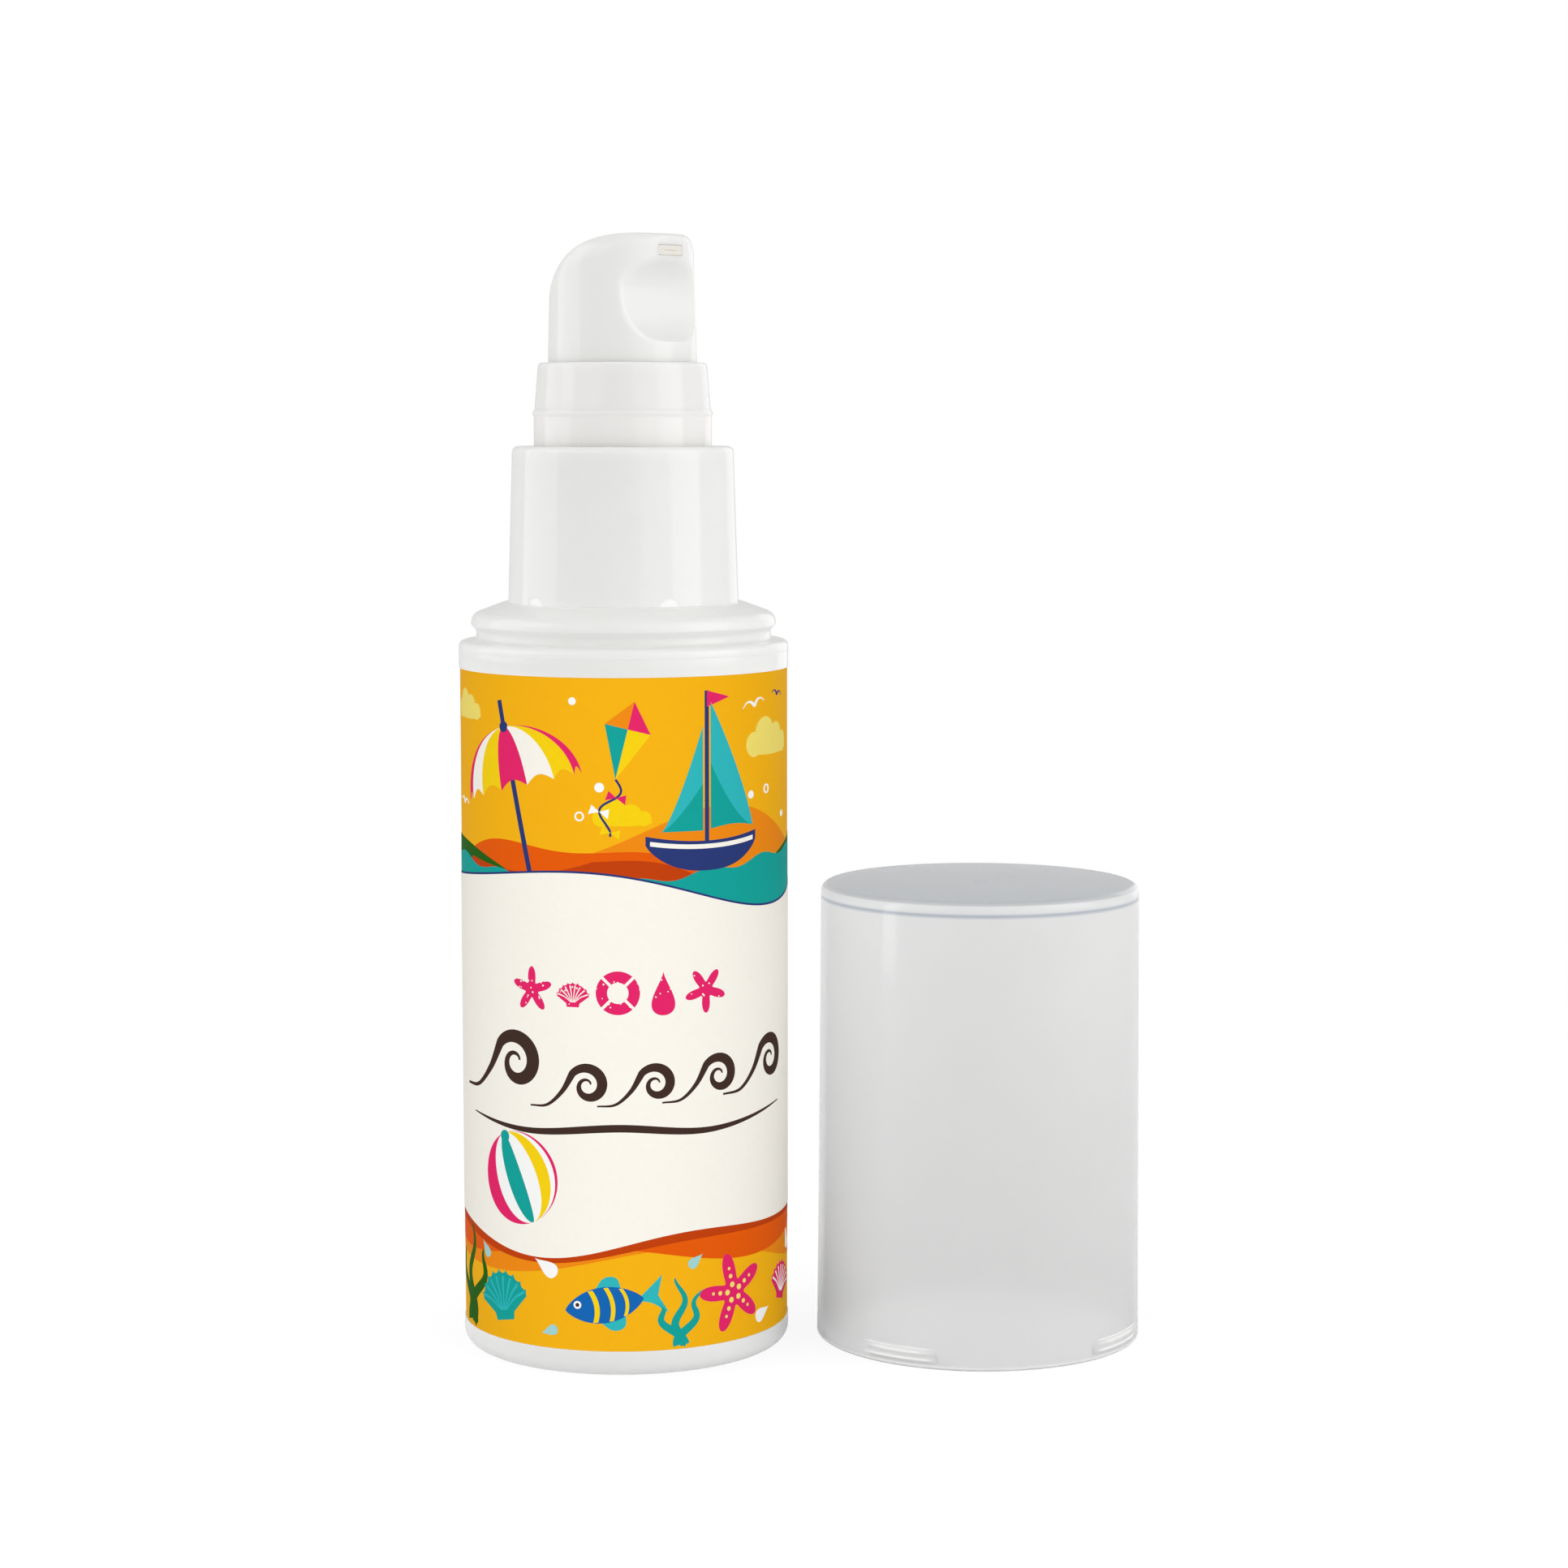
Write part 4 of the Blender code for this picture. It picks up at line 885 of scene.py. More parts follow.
class BOTTLE_OT_overcap(bpy.types.Operator):
    """Makes the overcap with its rounded roof, gate mark and inner snap segments"""

    bl_idname = "bottle.overcap"
    bl_label = "Overcap"

    snap_count = 4
    first_snap = math.radians(238)
    snap_half_width = math.radians(15)
    snap_soft_end = 1.5
    snap_middle, snap_half_height, snap_slope, snap_rise = 0.00085, 0.0005, 0.0002, 0.00043
    rim_zone = 0.0025
    # Level, spread and strength, and for a streak the soft end in degrees
    streaks = ((0.00095, 0.00012, 1, 4), (0.0017, 0.0002, 0.8, 8), (0.0021, 0.00008, 0.8, 4))
    rim_ring = (0.0003, 0.0001, 0.5)
    roof_edge = (0.0006, 0.0005, 0.4)

    def along_snap(self, angle, soft):
        """1 over each snap segment, falling to 0 at its ends over a soft angle in degrees."""
        turn = math.tau / self.snap_count
        off = np.abs((angle - self.first_snap + turn / 2) % turn - turn / 2)
        return np.clip((self.snap_half_width - off) / math.radians(soft), 0, 1)

    def glint(self, points, centre):
        """Three light streaks on the outside over each snap segment: a sharp one low down, a wide
        one over it and a thin one at the top, each exp(-((z - level) / spread) ** 2). A thin ring
        at the rim is half as light, and the rounded edge of the roof a little less."""
        ahead, aside = points[:, 0] - centre[0], points[:, 1] - centre[1]
        outside = np.hypot(ahead, aside) > reach_of("overcap") - sizes().cap_wall / 2
        level, spread, strength = self.rim_ring
        light = strength * np.exp(-((points[:, 2] - level) / spread) ** 2)
        for level, spread, strength, soft in self.streaks:
            bell = np.exp(-((points[:, 2] - level) / spread) ** 2)
            light += strength * bell * self.along_snap(np.arctan2(aside, ahead), soft)
        depth, spread, strength = self.roof_edge
        light += strength * (np.abs(high_of("overcap") - points[:, 2] - depth) < spread)
        return np.clip(light, 0, 1) * outside

    def shape(self, radius, height, angle):
        """The snap segments stand inwards from the wall."""
        along = self.along_snap(angle, self.snap_soft_end)
        inside = radius < reach_of("overcap") - sizes().cap_wall / 2
        beside = self.snap_half_height - np.abs(height - self.snap_middle)
        at_snap = np.clip(beside / self.snap_slope, 0, 1) * inside
        return radius - self.snap_rise * along * at_snap, height

    def execute(self, context):
        size = sizes()
        low, high = BOXES["overcap"]
        centre = ((low.x + high.x) / 2, (low.y + high.y) / 2)
        reach, top = reach_of("overcap"), high.z
        top_reach = reach - size.cap_taper
        corners = [
            (0, top - 0.0001),
            (0.0003, top - 0.0001, 0.0001),
            (0.0007, top - 0.00001, 0.0003),
            (top_reach, top, 0.0009),
            (reach - 0.00004, 0.0024),
            (reach, 0, 0.0003),
            (reach - size.cap_wall, 0, 0.0002),
            (reach - size.cap_wall, 0.0002),
            (reach - size.cap_wall, 0.0015),
            (top_reach - size.cap_wall, top - size.cap_roof, 0.0008),
            (0, top - size.cap_roof),
        ]
        outline = arc_outline(corners, 8, closed=False)
        at_rim = np.flatnonzero(outline[:, 1] < self.rim_zone)
        outline = subdivided(outline, at_rim[0], at_rim[-1], 0.0001)
        skin = turned_skin(outline, 2 * size.facets, False, centre, self.shape)

        def inside(points):
            radius = np.hypot(points[:, 0] - centre[0], points[:, 1] - centre[1])
            within = (radius < top_reach - size.cap_wall / 2) & (points[:, 2] < top - size.cap_roof / 2)
            return within * np.clip(points[:, 2] / self.rim_zone, 0, 1)

        marks = {"inside": inside, "glint": lambda points: self.glint(points, centre)}
        add_piece("overcap_shell", skin, natural_plastic(), "cap", "natural_pp", ["overcap"], marks)
        return {"FINISHED"}


# Inside of the pump


class BOTTLE_OT_spring(bpy.types.Operator):
    """Makes the return spring as one round wire"""

    bl_idname = "bottle.spring"
    bl_label = "Return spring"

    def execute(self, context):
        """The wire's middle climbs a helix. Round it, each section is a circle in the plane of the
        radial direction and of the one square to it and to the wire. It shrinks to a point at the
        ends."""
        low, high = low_of("return_spring"), high_of("return_spring")
        wire, turns, stroke = 0.00025, 5, 0.006
        mean = reach_of("return_spring") - wire
        along = np.linspace(0, 1, turns * 48 + 1)
        climb = low + wire + (high - low - 2 * wire) * along
        angle = along * turns * math.tau
        radial = np.stack((np.cos(angle), np.sin(angle), 0 * angle), -1)
        slope = (high - low - 2 * wire) / (turns * math.tau * mean)
        square = np.stack((slope * np.sin(angle), -slope * np.cos(angle), 1 + 0 * angle), -1)
        square /= math.hypot(1, slope)
        middle = radial * mean + np.stack((0 * climb, 0 * climb, climb), -1)
        order = np.concatenate(([0], np.arange(len(along)), [len(along) - 1]))
        thick = np.concatenate(([0], np.full(len(along), wire), [0]))[:, None, None]
        across, up = ring_path(12).T[:, :, None]
        section = radial[order][:, None] * across + square[order][:, None] * up
        points = middle[order][:, None] + thick * section
        finish = plastic("spring_steel", colour_of("steel"), 0.22, bump=0.02, Metallic=1.0)
        skin = closed_skin(points, False, True)
        piece = add_piece("return_coil", skin, finish, "bottle", "steel", ["return_spring"])
        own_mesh(piece)
        return {"FINISHED"}


class BOTTLE_OT_inside(bpy.types.Operator):
    """Gives the pieces inside the pump and the bottle their materials"""

    bl_idname = "bottle.inside"
    bl_label = "Inside pieces"

    def execute(self, context):
        piston = plastic("piston_polyethylene", colour_of("piston"), 0.5, scale=500)
        rubber = plastic("gasket_elastomer", colour_of("gasket"), 0.7, speckle=0.05, bump=0.1)
        steel = plastic("ball_steel", colour_of("steel"), 0.12, bump=0.005, Metallic=1.0)
        dull = plastic("inside_polypropylene", colour_of("soft_white"), 0.42)
        finishes = {
            "follower_piston": piston, "pump_piston": piston, "neck_gasket": rubber,
            "inlet_ball": steel, "outlet_ball": steel,
            "pump_housing": dull, "ball_cage": dull, "pump_stem": dull, "stem_guide": dull,
        }
        for name, finish in finishes.items():
            mesh = frame["nodes"][name].data
            mesh.materials.clear()
            mesh.materials.append(finish)
        return {"FINISHED"}


# Label


COLUMNS_PER_MM = 3
LEAST_COLUMNS = 14
FAN_STEP = 0.7
FILM_INK_STEPS = 10


class LabelPrint:
    """Flat shapes of ink, drawn in millimetres: u goes right round the film from the front, v goes
    up from the base. Each shape is a thin closed sheet on the film, kept by its ink."""

    def __init__(self, film_radius, step, sink):
        self.radius = film_radius
        self.step = step
        self.sink = sink
        self.skins = {}

    def lay(self, ink, level, u, v, ring=False):
        """Lays a grid of (u, v) points as a sheet. The grid's rows run over its top side and back
        under it, and end columns fold down to the underside. On the film's cylinder, a point is
        x = r sin(u / R), y = -r cos(u / R), z = v, with r higher for a higher level."""
        u, v = np.broadcast_arrays(np.asarray(u, float), np.asarray(v, float))
        lift = np.full(u.shape, self.step * level)
        if not ring:
            u, v = (np.concatenate((a[:, :1], a, a[:, -1:]), 1) for a in (u, v))
            ends = np.full((len(u), 1), -self.sink)
            lift = np.concatenate((ends, lift, ends), 1)
        u, v = (np.concatenate((a, a[::-1])) for a in (u, v))
        lift = np.concatenate((lift, np.full(lift.shape, -self.sink)))
        angle = u * MM / self.radius
        radius = self.radius + lift
        points = np.stack((radius * np.sin(angle), -radius * np.cos(angle), v * MM), -1)
        self.skins.setdefault(ink, []).append(closed_skin(points, True, ring))

    def strip(self, ink, level, u, low, high, ring=False):
        """The region over u between two edges."""
        self.lay(ink, level, np.stack((u, u)), np.stack((low + 0 * u, high + 0 * u)), ring)

    def blob(self, ink, level, outline):
        """A shape that each upright line crosses once: its outline is split at its left and right
        ends into an upper and a lower edge."""
        outline = np.asarray(outline)
        outline = np.roll(outline, -int(outline[:, 0].argmin()), axis=0)
        right = int(outline[:, 0].argmax())
        one = outline[:right + 1]
        two = np.concatenate((outline[right:], outline[:1]))[::-1]
        left, wide = outline[0, 0], outline[right, 0] - outline[0, 0]
        count = max(LEAST_COLUMNS, math.ceil(wide * COLUMNS_PER_MM))
        u = left + wide * (1 - np.cos(np.linspace(0, math.pi, count))) / 2
        edges = [np.interp(u, edge[:, 0], edge[:, 1]) for edge in (one, two)]
        self.strip(ink, level, u, np.minimum(*edges), np.maximum(*edges))

    def disc(self, ink, level, u, v, radius):
        self.blob(ink, level, (u, v) + radius * ring_path(64))

    def fan(self, ink, level, centre, outline):
        """A star-shaped region: rings of the outline drawn in towards a centre."""
        outline = np.asarray(outline)
        rows = max(2, math.ceil(np.abs(outline[:, 0] - centre[0]).max() / FAN_STEP) + 1)
        part = np.linspace(0, 1, rows)[:, None]
        u = centre[0] + part * (outline[:, 0] - centre[0])
        v = centre[1] + part * (outline[:, 1] - centre[1])
        self.lay(ink, level, u, v, ring=True)

    def stroke(self, ink, level, path, width, ring=False):
        """A line with a width at each of its points, spread to both sides along its normal."""
        path = np.asarray(path, float)
        if ring:
            ahead = np.roll(path, -1, 0) - np.roll(path, 1, 0)
        else:
            ahead = np.gradient(path, axis=0)
        ahead /= np.linalg.norm(ahead, axis=1)[:, None]
        side = np.stack((-ahead[:, 1], ahead[:, 0]), -1) * (np.broadcast_to(width, len(path)) / 2)[:, None]
        across = np.linspace(-1, 1, 3)[:, None]
        u = path[:, 0] + across * side[:, 0]
        v = path[:, 1] + across * side[:, 1]
        self.lay(ink, level, u, v, ring)


def smooth_path(points, steps=10):
    """A Catmull-Rom curve: between two points it is the cubic whose slopes there are half the
    distance between the neighbours on both sides."""
    points = np.asarray(points, float)
    padded = np.concatenate((2 * points[:1] - points[1:2], points, 2 * points[-1:] - points[-2:-1]))
    a, b, c, d = (padded[k:len(points) - 1 + k, None] for k in range(4))
    t = np.linspace(0, 1, steps + 1)[:-1][:, None]
    square = 2 * a - 5 * b + 4 * c - d
    cube = 3 * b - a - 3 * c + d
    curve = 0.5 * (2 * b + (c - a) * t + square * t ** 2 + cube * t ** 3)
    return np.concatenate((curve.reshape(-1, 2), points[-1:]))


class Stamp:
    """A place on the print. Drawings in unit coordinates are turned by degrees, scaled by a size and
    moved there, on a level of ink or some levels up from it."""

    def __init__(self, ink_print, u, v, size, turn=0, level=4):
        self.ink_print = ink_print
        self.middle = np.array((u, v))
        self.size = size
        turn = math.radians(turn)
        self.turned = np.array(((math.cos(turn), math.sin(turn)), (-math.sin(turn), math.cos(turn))))
        self.level = level

    def put(self, points):
        return self.middle + self.size * (np.asarray(points, float) @ self.turned)

    def grid(self, ink, grid, up=0):
        grid = self.put(grid)
        self.ink_print.lay(ink, self.level + up, grid[..., 0], grid[..., 1])

    def strip(self, ink, x, low, high, up=0):
        """Between two edges, for a stamp that isn't turned."""
        u, v = self.middle
        low, high = (v + self.size * edge for edge in (low, high))
        self.ink_print.strip(ink, self.level + up, u + self.size * x, low, high)

    def fan(self, ink, centre, outline, up=0):
        self.ink_print.fan(ink, self.level + up, self.put(centre), self.put(outline))

    def stroke(self, ink, path, width, up=0, ring=False):
        width = np.asarray(width) * self.size
        self.ink_print.stroke(ink, self.level + up, self.put(path), width, ring)

    def disc(self, ink, place, radius, up=0):
        self.ink_print.disc(ink, self.level + up, *self.put(place), radius * self.size)


def parasol(stamp):
    """Gores between half ellipses that meet at the top: (a c sin t, b cos t), with c from gore to
    gore and a scalloped lower edge. A pole stands under them."""
    stamp.stroke("navy", smooth_path([(0, 1.12), (0, 0), (0, -1.75)], 6), 0.07)
    inks = ("pink", "cream", "lemon", "pink", "cream", "lemon", "pink")
    edges = np.sin(np.linspace(-math.pi / 2, math.pi / 2, len(inks) + 1))
    fall = np.linspace(0, math.pi / 2, 22)
    part = np.linspace(0, 1, 9)[:, None]
    hem = 0.1 * np.sin(part * math.pi) * np.sin(fall) ** 6
    for ink, left, right in zip(inks, edges, edges[1:]):
        across = left + (right - left) * part
        stamp.grid(ink, np.stack((across * np.sin(fall), 0.78 * np.cos(fall) + hem), -1), 1)
    stamp.disc("navy", (0, 0.78), 0.07, 2)


def sailboat(stamp):
    """A hull under two sails. Each sail is two tones, parted by a curve from its head to its foot."""
    x = np.linspace(-1, 1, 40)
    stamp.strip("navy", x, -0.42 * (1 - np.abs(x) ** 2.4) ** 0.8, 0.04 + 0.1 * x ** 2)
    band = np.linspace(-0.93, 0.93, 36)
    stamp.strip("cream", band, -0.08 + 0.08 * band ** 2, -0.01 + 0.08 * band ** 2, 1)
    stamp.stroke("navy", [(0, 0), (0, 1), (0, 2.35)], 0.07)
    part = np.linspace(0, 1, 28)
    main_x = 0.07 + 0.86 * part
    main_low = 0.22 + 0.05 * np.sin(part * math.pi)
    main_high = 0.22 + 1.95 * (1 - part) ** 0.85
    split = main_low + (main_high - main_low) * 0.52 * (1 - part)
    stamp.strip("teal", main_x, main_low, np.maximum(main_high, main_low))
    stamp.strip("aqua", main_x, split, np.maximum(main_high, split), 1)
    jib_x = (-0.07 - 0.68 * part)[::-1]
    jib_high = 0.2 + 1.6 * (1 - part[::-1]) ** 1.25
    stamp.strip("aqua", jib_x, 0.2, jib_high)
    stamp.strip("teal", jib_x, 0.2, 0.2 + (jib_high - 0.2) * 0.45, 1)
    flag = stamp.put([(0, 2.35), (0.42, 2.24), (0, 2.1)])
    stamp.ink_print.blob("pink", stamp.level + 1, flag)


def gull(stamp, ink):
    """Two wings, each an arc that thins to its tip."""
    for side in (-1, 1):
        wing = smooth_path([(0, -0.1), (0.28 * side, 0.16), (0.62 * side, 0.2), (side, -0.05)])
        stamp.stroke(ink, wing, np.linspace(0.2, 0.02, len(wing)))


def cloud(stamp, ink):
    """Discs of unlike size on a flat foot."""
    for x, y, radius in ((-0.75, 0.22, 0.3), (-0.28, 0.42, 0.44), (0.28, 0.34, 0.36), (0.72, 0.2, 0.26)):
        stamp.disc(ink, (x, y), radius)
    foot = np.linspace(-1, 1, 24)
    round_end = 0.12 * np.sqrt(1 - foot ** 2)
    stamp.strip(ink, foot, 0.06 - round_end, 0.12 + round_end)


def starfish(stamp, ink, dots=None):
    """An outline whose radius swells five times round: r = 0.34 + 0.66 (0.5 + 0.5 cos 5a) ** 1.25."""
    angle = np.linspace(0, math.tau, 161)[:-1]
    radius = 0.34 + 0.66 * (0.5 + 0.5 * np.cos(5 * angle)) ** 1.25
    stamp.fan(ink, (0, 0), np.stack((radius * np.sin(angle), radius * np.cos(angle)), -1))
    if not dots:
        return
    for arm in np.arange(5) * math.tau / 5:
        for out, radius in ((0.2, 0.07), (0.42, 0.055), (0.62, 0.04)):
            stamp.disc(dots, (out * math.sin(arm), out * math.cos(arm)), radius, 1)


def scallop(stamp, ink, rib):
    """A fan of nine flutes over a hinge, with a rib between each two flutes."""
    lean = np.linspace(-1.15, 1.15, 91)
    flutes = 1 - 0.09 * np.abs(np.sin(lean / 2.3 * 9 * math.pi)) ** 0.5 + 0.06
    radius = flutes * (0.86 + 0.14 * np.cos(lean))
    rim = np.stack((radius * np.sin(lean), radius * np.cos(lean)), -1)
    foot = np.array([(0.34, 0.02), (0.3, -0.16), (-0.3, -0.16), (-0.34, 0.02)])
    stamp.fan(ink, (0, 0.25), np.concatenate((rim, foot)))
    for bend in np.linspace(-1.02, 1.02, 8):
        aside, up = math.sin(bend), math.cos(bend)
        line = smooth_path([(0.1 * aside, 0.08), (0.5 * aside, 0.12 + 0.42 * up), (0.9 * aside, 0.9 * up)], 6)
        stamp.stroke(rib, line, np.linspace(0.03, 0.07, len(line)), 1)


def fish(stamp):
    """A lens for the body, h = 0.45 (1 - x^2)^0.8, two bent fins, a tail and curved bands."""
    x = np.linspace(-1, 1, 44)
    half = 0.45 * (1 - x ** 2) ** 0.8
    stamp.fan("aqua", (1.2, 0), [(0.85, 0), (1.55, 0.48), (1.36, 0), (1.55, -0.48)])
    for side in (1, -1):
        fin = [(-0.2, 0.36 * side), (0.1, 0.66 * side), (0.42, 0.62 * side), (0.5, 0.26 * side)]
        stamp.fan("aqua", (0.15, 0.36 * side), smooth_path(fin, 8))
    stamp.grid("blue", [np.stack((x, -half), -1), np.stack((x, half), -1)], 1)
    tall = np.linspace(-1, 1, 15)
    for place, wide in ((-0.28, 0.13), (0.12, 0.11), (0.48, 0.09)):
        bow = place + 0.1 * (1 - tall ** 2)
        reach = 0.43 * (1 - place ** 2) ** 0.8
        grid = [np.stack((bow + side * wide / 2, tall * reach), -1) for side in (-1, 0, 1)]
        stamp.grid("lemon", grid, 2)
    stamp.disc("chalk", (-0.66, 0.1), 0.1, 2)
    stamp.disc("cocoa", (-0.66, 0.1), 0.05, 3)


def beach_ball(stamp):
    """A disc with lenses between half ellipses through its two poles, (a cos t, sin t)."""
    stamp.disc("chalk", (0, 0), 1)
    rise = np.linspace(-math.pi / 2, math.pi / 2, 40)
    lenses = (("pink", -1, -0.62), ("teal", -0.3, 0.12), ("lemon", 0.5, 0.8), ("pink", 0.93, 1))
    for ink, left, right in lenses:
        across = np.linspace(left, right, 6)[:, None]
        stamp.grid(ink, np.stack((across * np.cos(rise), np.sin(rise) + 0 * across), -1), 1)
    stamp.disc("teal", (0, 0.93), 0.13, 2)


def drop(stamp, ink):
    """A teardrop: the width goes as sin t (1 - cos t) from its point to its round end."""
    t = np.linspace(0, math.tau, 61)[:-1]
    stamp.fan(ink, (0, -0.3), np.stack((0.42 * np.sin(t) * (1 - np.cos(t)), np.cos(t)), -1))


def life_ring(stamp, ink, bars):
    """A ring with four bars across it."""
    stamp.stroke(ink, 0.72 * ring_path(72), 0.5, ring=True)
    for side in np.arange(4) * math.tau / 4 + math.tau / 8:
        stamp.stroke(bars, [(r * math.cos(side), r * math.sin(side)) for r in (0.46, 0.72, 0.98)], 0.13, 1)


def weed(stamp, ink, sway):
    """Three stems that sway as sines and thin to their tips."""
    up = np.linspace(0, 1, 30)
    for lean, tall in ((-0.45, 0.8), (0, 1.15), (0.42, 0.9)):
        x = lean * up + 0.09 * np.sin(up * 9 + sway + lean * 4)
        stamp.stroke(ink, np.stack((x, tall * up), -1), 0.15 * (1 - up) ** 0.6 + 0.02)


def wave_scroll(stamp, ink):
    """A crest that climbs a back and rolls into a spiral: after the back, the radius shrinks
    evenly as the line turns on. The line is thin at both ends and thick at the crest."""
    back = smooth_path([(-1.35, -0.62), (-0.8, -0.5), (-0.38, -0.05), (-0.12, 0.5)], 12)
    turn = np.linspace(math.radians(150), math.radians(-330), 70)
    radius = np.linspace(0.56, 0.1, 70)
    curl = np.stack((0.37 + radius * np.cos(turn), 0.24 + radius * np.sin(turn)), -1)
    path = np.concatenate((back[:-1], curl))
    part = np.linspace(0, 1, len(path))
    stamp.stroke(ink, path, 0.05 + 0.2 * np.sin(part * math.pi) ** 1.5 * (1 - 0.25 * np.sin(part * 9)))


def kite(stamp):
    """Four tones between two crossed spars, and a tail of three bows on a swaying line."""
    corners = np.array([(0, 1), (0.62, 0.25), (0, -1.1), (-0.62, 0.25)])
    middle = np.array((0, 0.25))
    for ink, one, two in zip(("pink", "lemon", "teal", "orange"), corners, np.roll(corners, -1, 0)):
        stamp.fan(ink, (one + two + middle) / 3, [*np.linspace(one, two, 7), middle])
    part = np.linspace(0, 1, 30)
    tail = np.stack((0.22 * np.sin(part * 8), -1.1 - 1.5 * part), -1)
    stamp.stroke("navy", tail, 0.06)
    for number, ink in ((9, "pink"), (18, "chalk"), (27, "lemon")):
        for side in (-1, 1):
            bow = np.array([(0, 0), (0.24 * side, 0.13), (0.27 * side, -0.13)]) + tail[number]
            stamp.fan(ink, bow.mean(0), bow, 1)


def upper_edge(turn):
    """Where the cream field ends above: two sines that close round the label."""
    return 51.0 + 2.0 * np.sin(2 * turn + 2.77) + 0.8 * np.sin(3 * turn + 1.0)


def lower_edge(turn):
    """Where the cream field ends below."""
    return 14.2 + 1.3 * np.sin(2 * turn - 0.5) + 0.6 * np.sin(4 * turn + 0.4)


def grounds(ink_print, round_u):
    """Hills, sea and cream field, each right round the label between a lower and an upper edge."""
    turn = round_u * MM / ink_print.radius
    far_hill = 55.6 + 2.6 * np.sin(2 * turn + 0.6) + 1.6 * np.sin(3 * turn - 0.9)
    near_hill = 53.2 + 2.6 * np.sin(2 * turn + 2.4) + 0.9 * np.sin(5 * turn)
    overlap = np.minimum(far_hill, near_hill) - 0.9
    sea = 52.8 + 1.1 * np.sin(2 * turn - 1.2) + 0.35 * np.sin(14 * turn)
    green_hill = 52.0 + 3.2 * np.sin(2 * turn + 4.4)
    bed = 11.4 + 1.5 * np.sin(2 * turn + 1.1) + 0.7 * np.sin(3 * turn)
    near_bed = 12.6 + 1.1 * np.sin(3 * turn + 2.0)
    shade = lower_edge(turn) - 0.75 - 0.2 * np.sin(4 * turn)
    behind_low, behind_high = 18, 44
    for ink, level, low, high in (
        ("orange", 1, behind_high, far_hill), ("ember", 2, behind_high, near_hill),
        ("rust", 3, behind_high, overlap), ("teal", 3.5, behind_high, sea),
        ("fern", 2.5, behind_high, green_hill), ("navy", 5, behind_high, upper_edge(turn) + 0.22),
        ("rust", 3, shade, behind_low), ("orange", 1, bed, behind_low),
        ("ember", 2, near_bed, behind_low), ("cream", 6, lower_edge(turn), upper_edge(turn)),
    ):
        ink_print.strip(ink, level, round_u, low, high, ring=True)


def sky(ink_print, at):
    """Parasol, kite, boat, clouds and gulls over one half of the label."""
    for ink, u, v, size in (
        ("butter", 19.5, 64.4, 4.4), ("butter", -20.5, 68.0, 3.4), ("lemon", 0.6, 57.8, 3.0),
    ):
        cloud(Stamp(ink_print, at + u, v, size, level=0.5), ink)
    parasol(Stamp(ink_print, at - 11.6, 61.2, 8.2, 13))
    sailboat(Stamp(ink_print, at + 9.6, 55.6, 6.7))
    kite(Stamp(ink_print, at + 0.9, 66.6, 3.9, -14))
    for ink, *place in (
        ("chalk", 16.2, 69.6, 1.9, 10), ("navy", 21.0, 70.4, 1.3, -8), ("chalk", -21.8, 59.0, 1.5, -6),
    ):
        gull(Stamp(ink_print, at + place[0], *place[1:]), ink)
    for u, v, radius in ((-1.8, 61.6, 0.5), (15.6, 60.2, 0.42), (-4.6, 70.4, 0.4), (22.5, 57.6, 0.35)):
        ink_print.disc("chalk", 5, at + u, v, radius)
    for u, v in ((-3.9, 58.6), (18.4, 60.6)):
        ink_print.stroke("chalk", 5, (at + u, v) + 0.42 * ring_path(32), 0.17, ring=True)


def sea_bed(ink_print, at):
    """Star, fish, shells, weed and drops over one half of the label's foot."""
    starfish(Stamp(ink_print, at + 12.9, 8.0, 4.3, 14), "pink", "butter")
    fish(Stamp(ink_print, at - 1.6, 7.7, 4.2, 10))
    scallop(Stamp(ink_print, at - 13.6, 5.6, 4.4, 12), "teal", "aqua")
    scallop(Stamp(ink_print, at + 22.0, 6.0, 3.4, -14), "pink", "cream")
    weed(Stamp(ink_print, at - 20.5, 3.4, 9.2, level=3.5), "fern", 0.4)
    weed(Stamp(ink_print, at + 6.4, 3.2, 6.2, level=3.5), "teal", 1.9)
    for ink, u, v, size, turn in (
        ("chalk", -8.0, 11.4, 1.5, 60), ("mist", -7.6, 4.6, 1.0, 110), ("chalk", 17.6, 4.9, 1.3, -70),
        ("mist", 8.2, 12.0, 1.0, -50), ("mist", -16.8, 12.0, 1.0, 40), ("chalk", 24.9, 11.4, 1.2, 20),
    ):
        drop(Stamp(ink_print, at + u, v, size, turn, 5), ink)


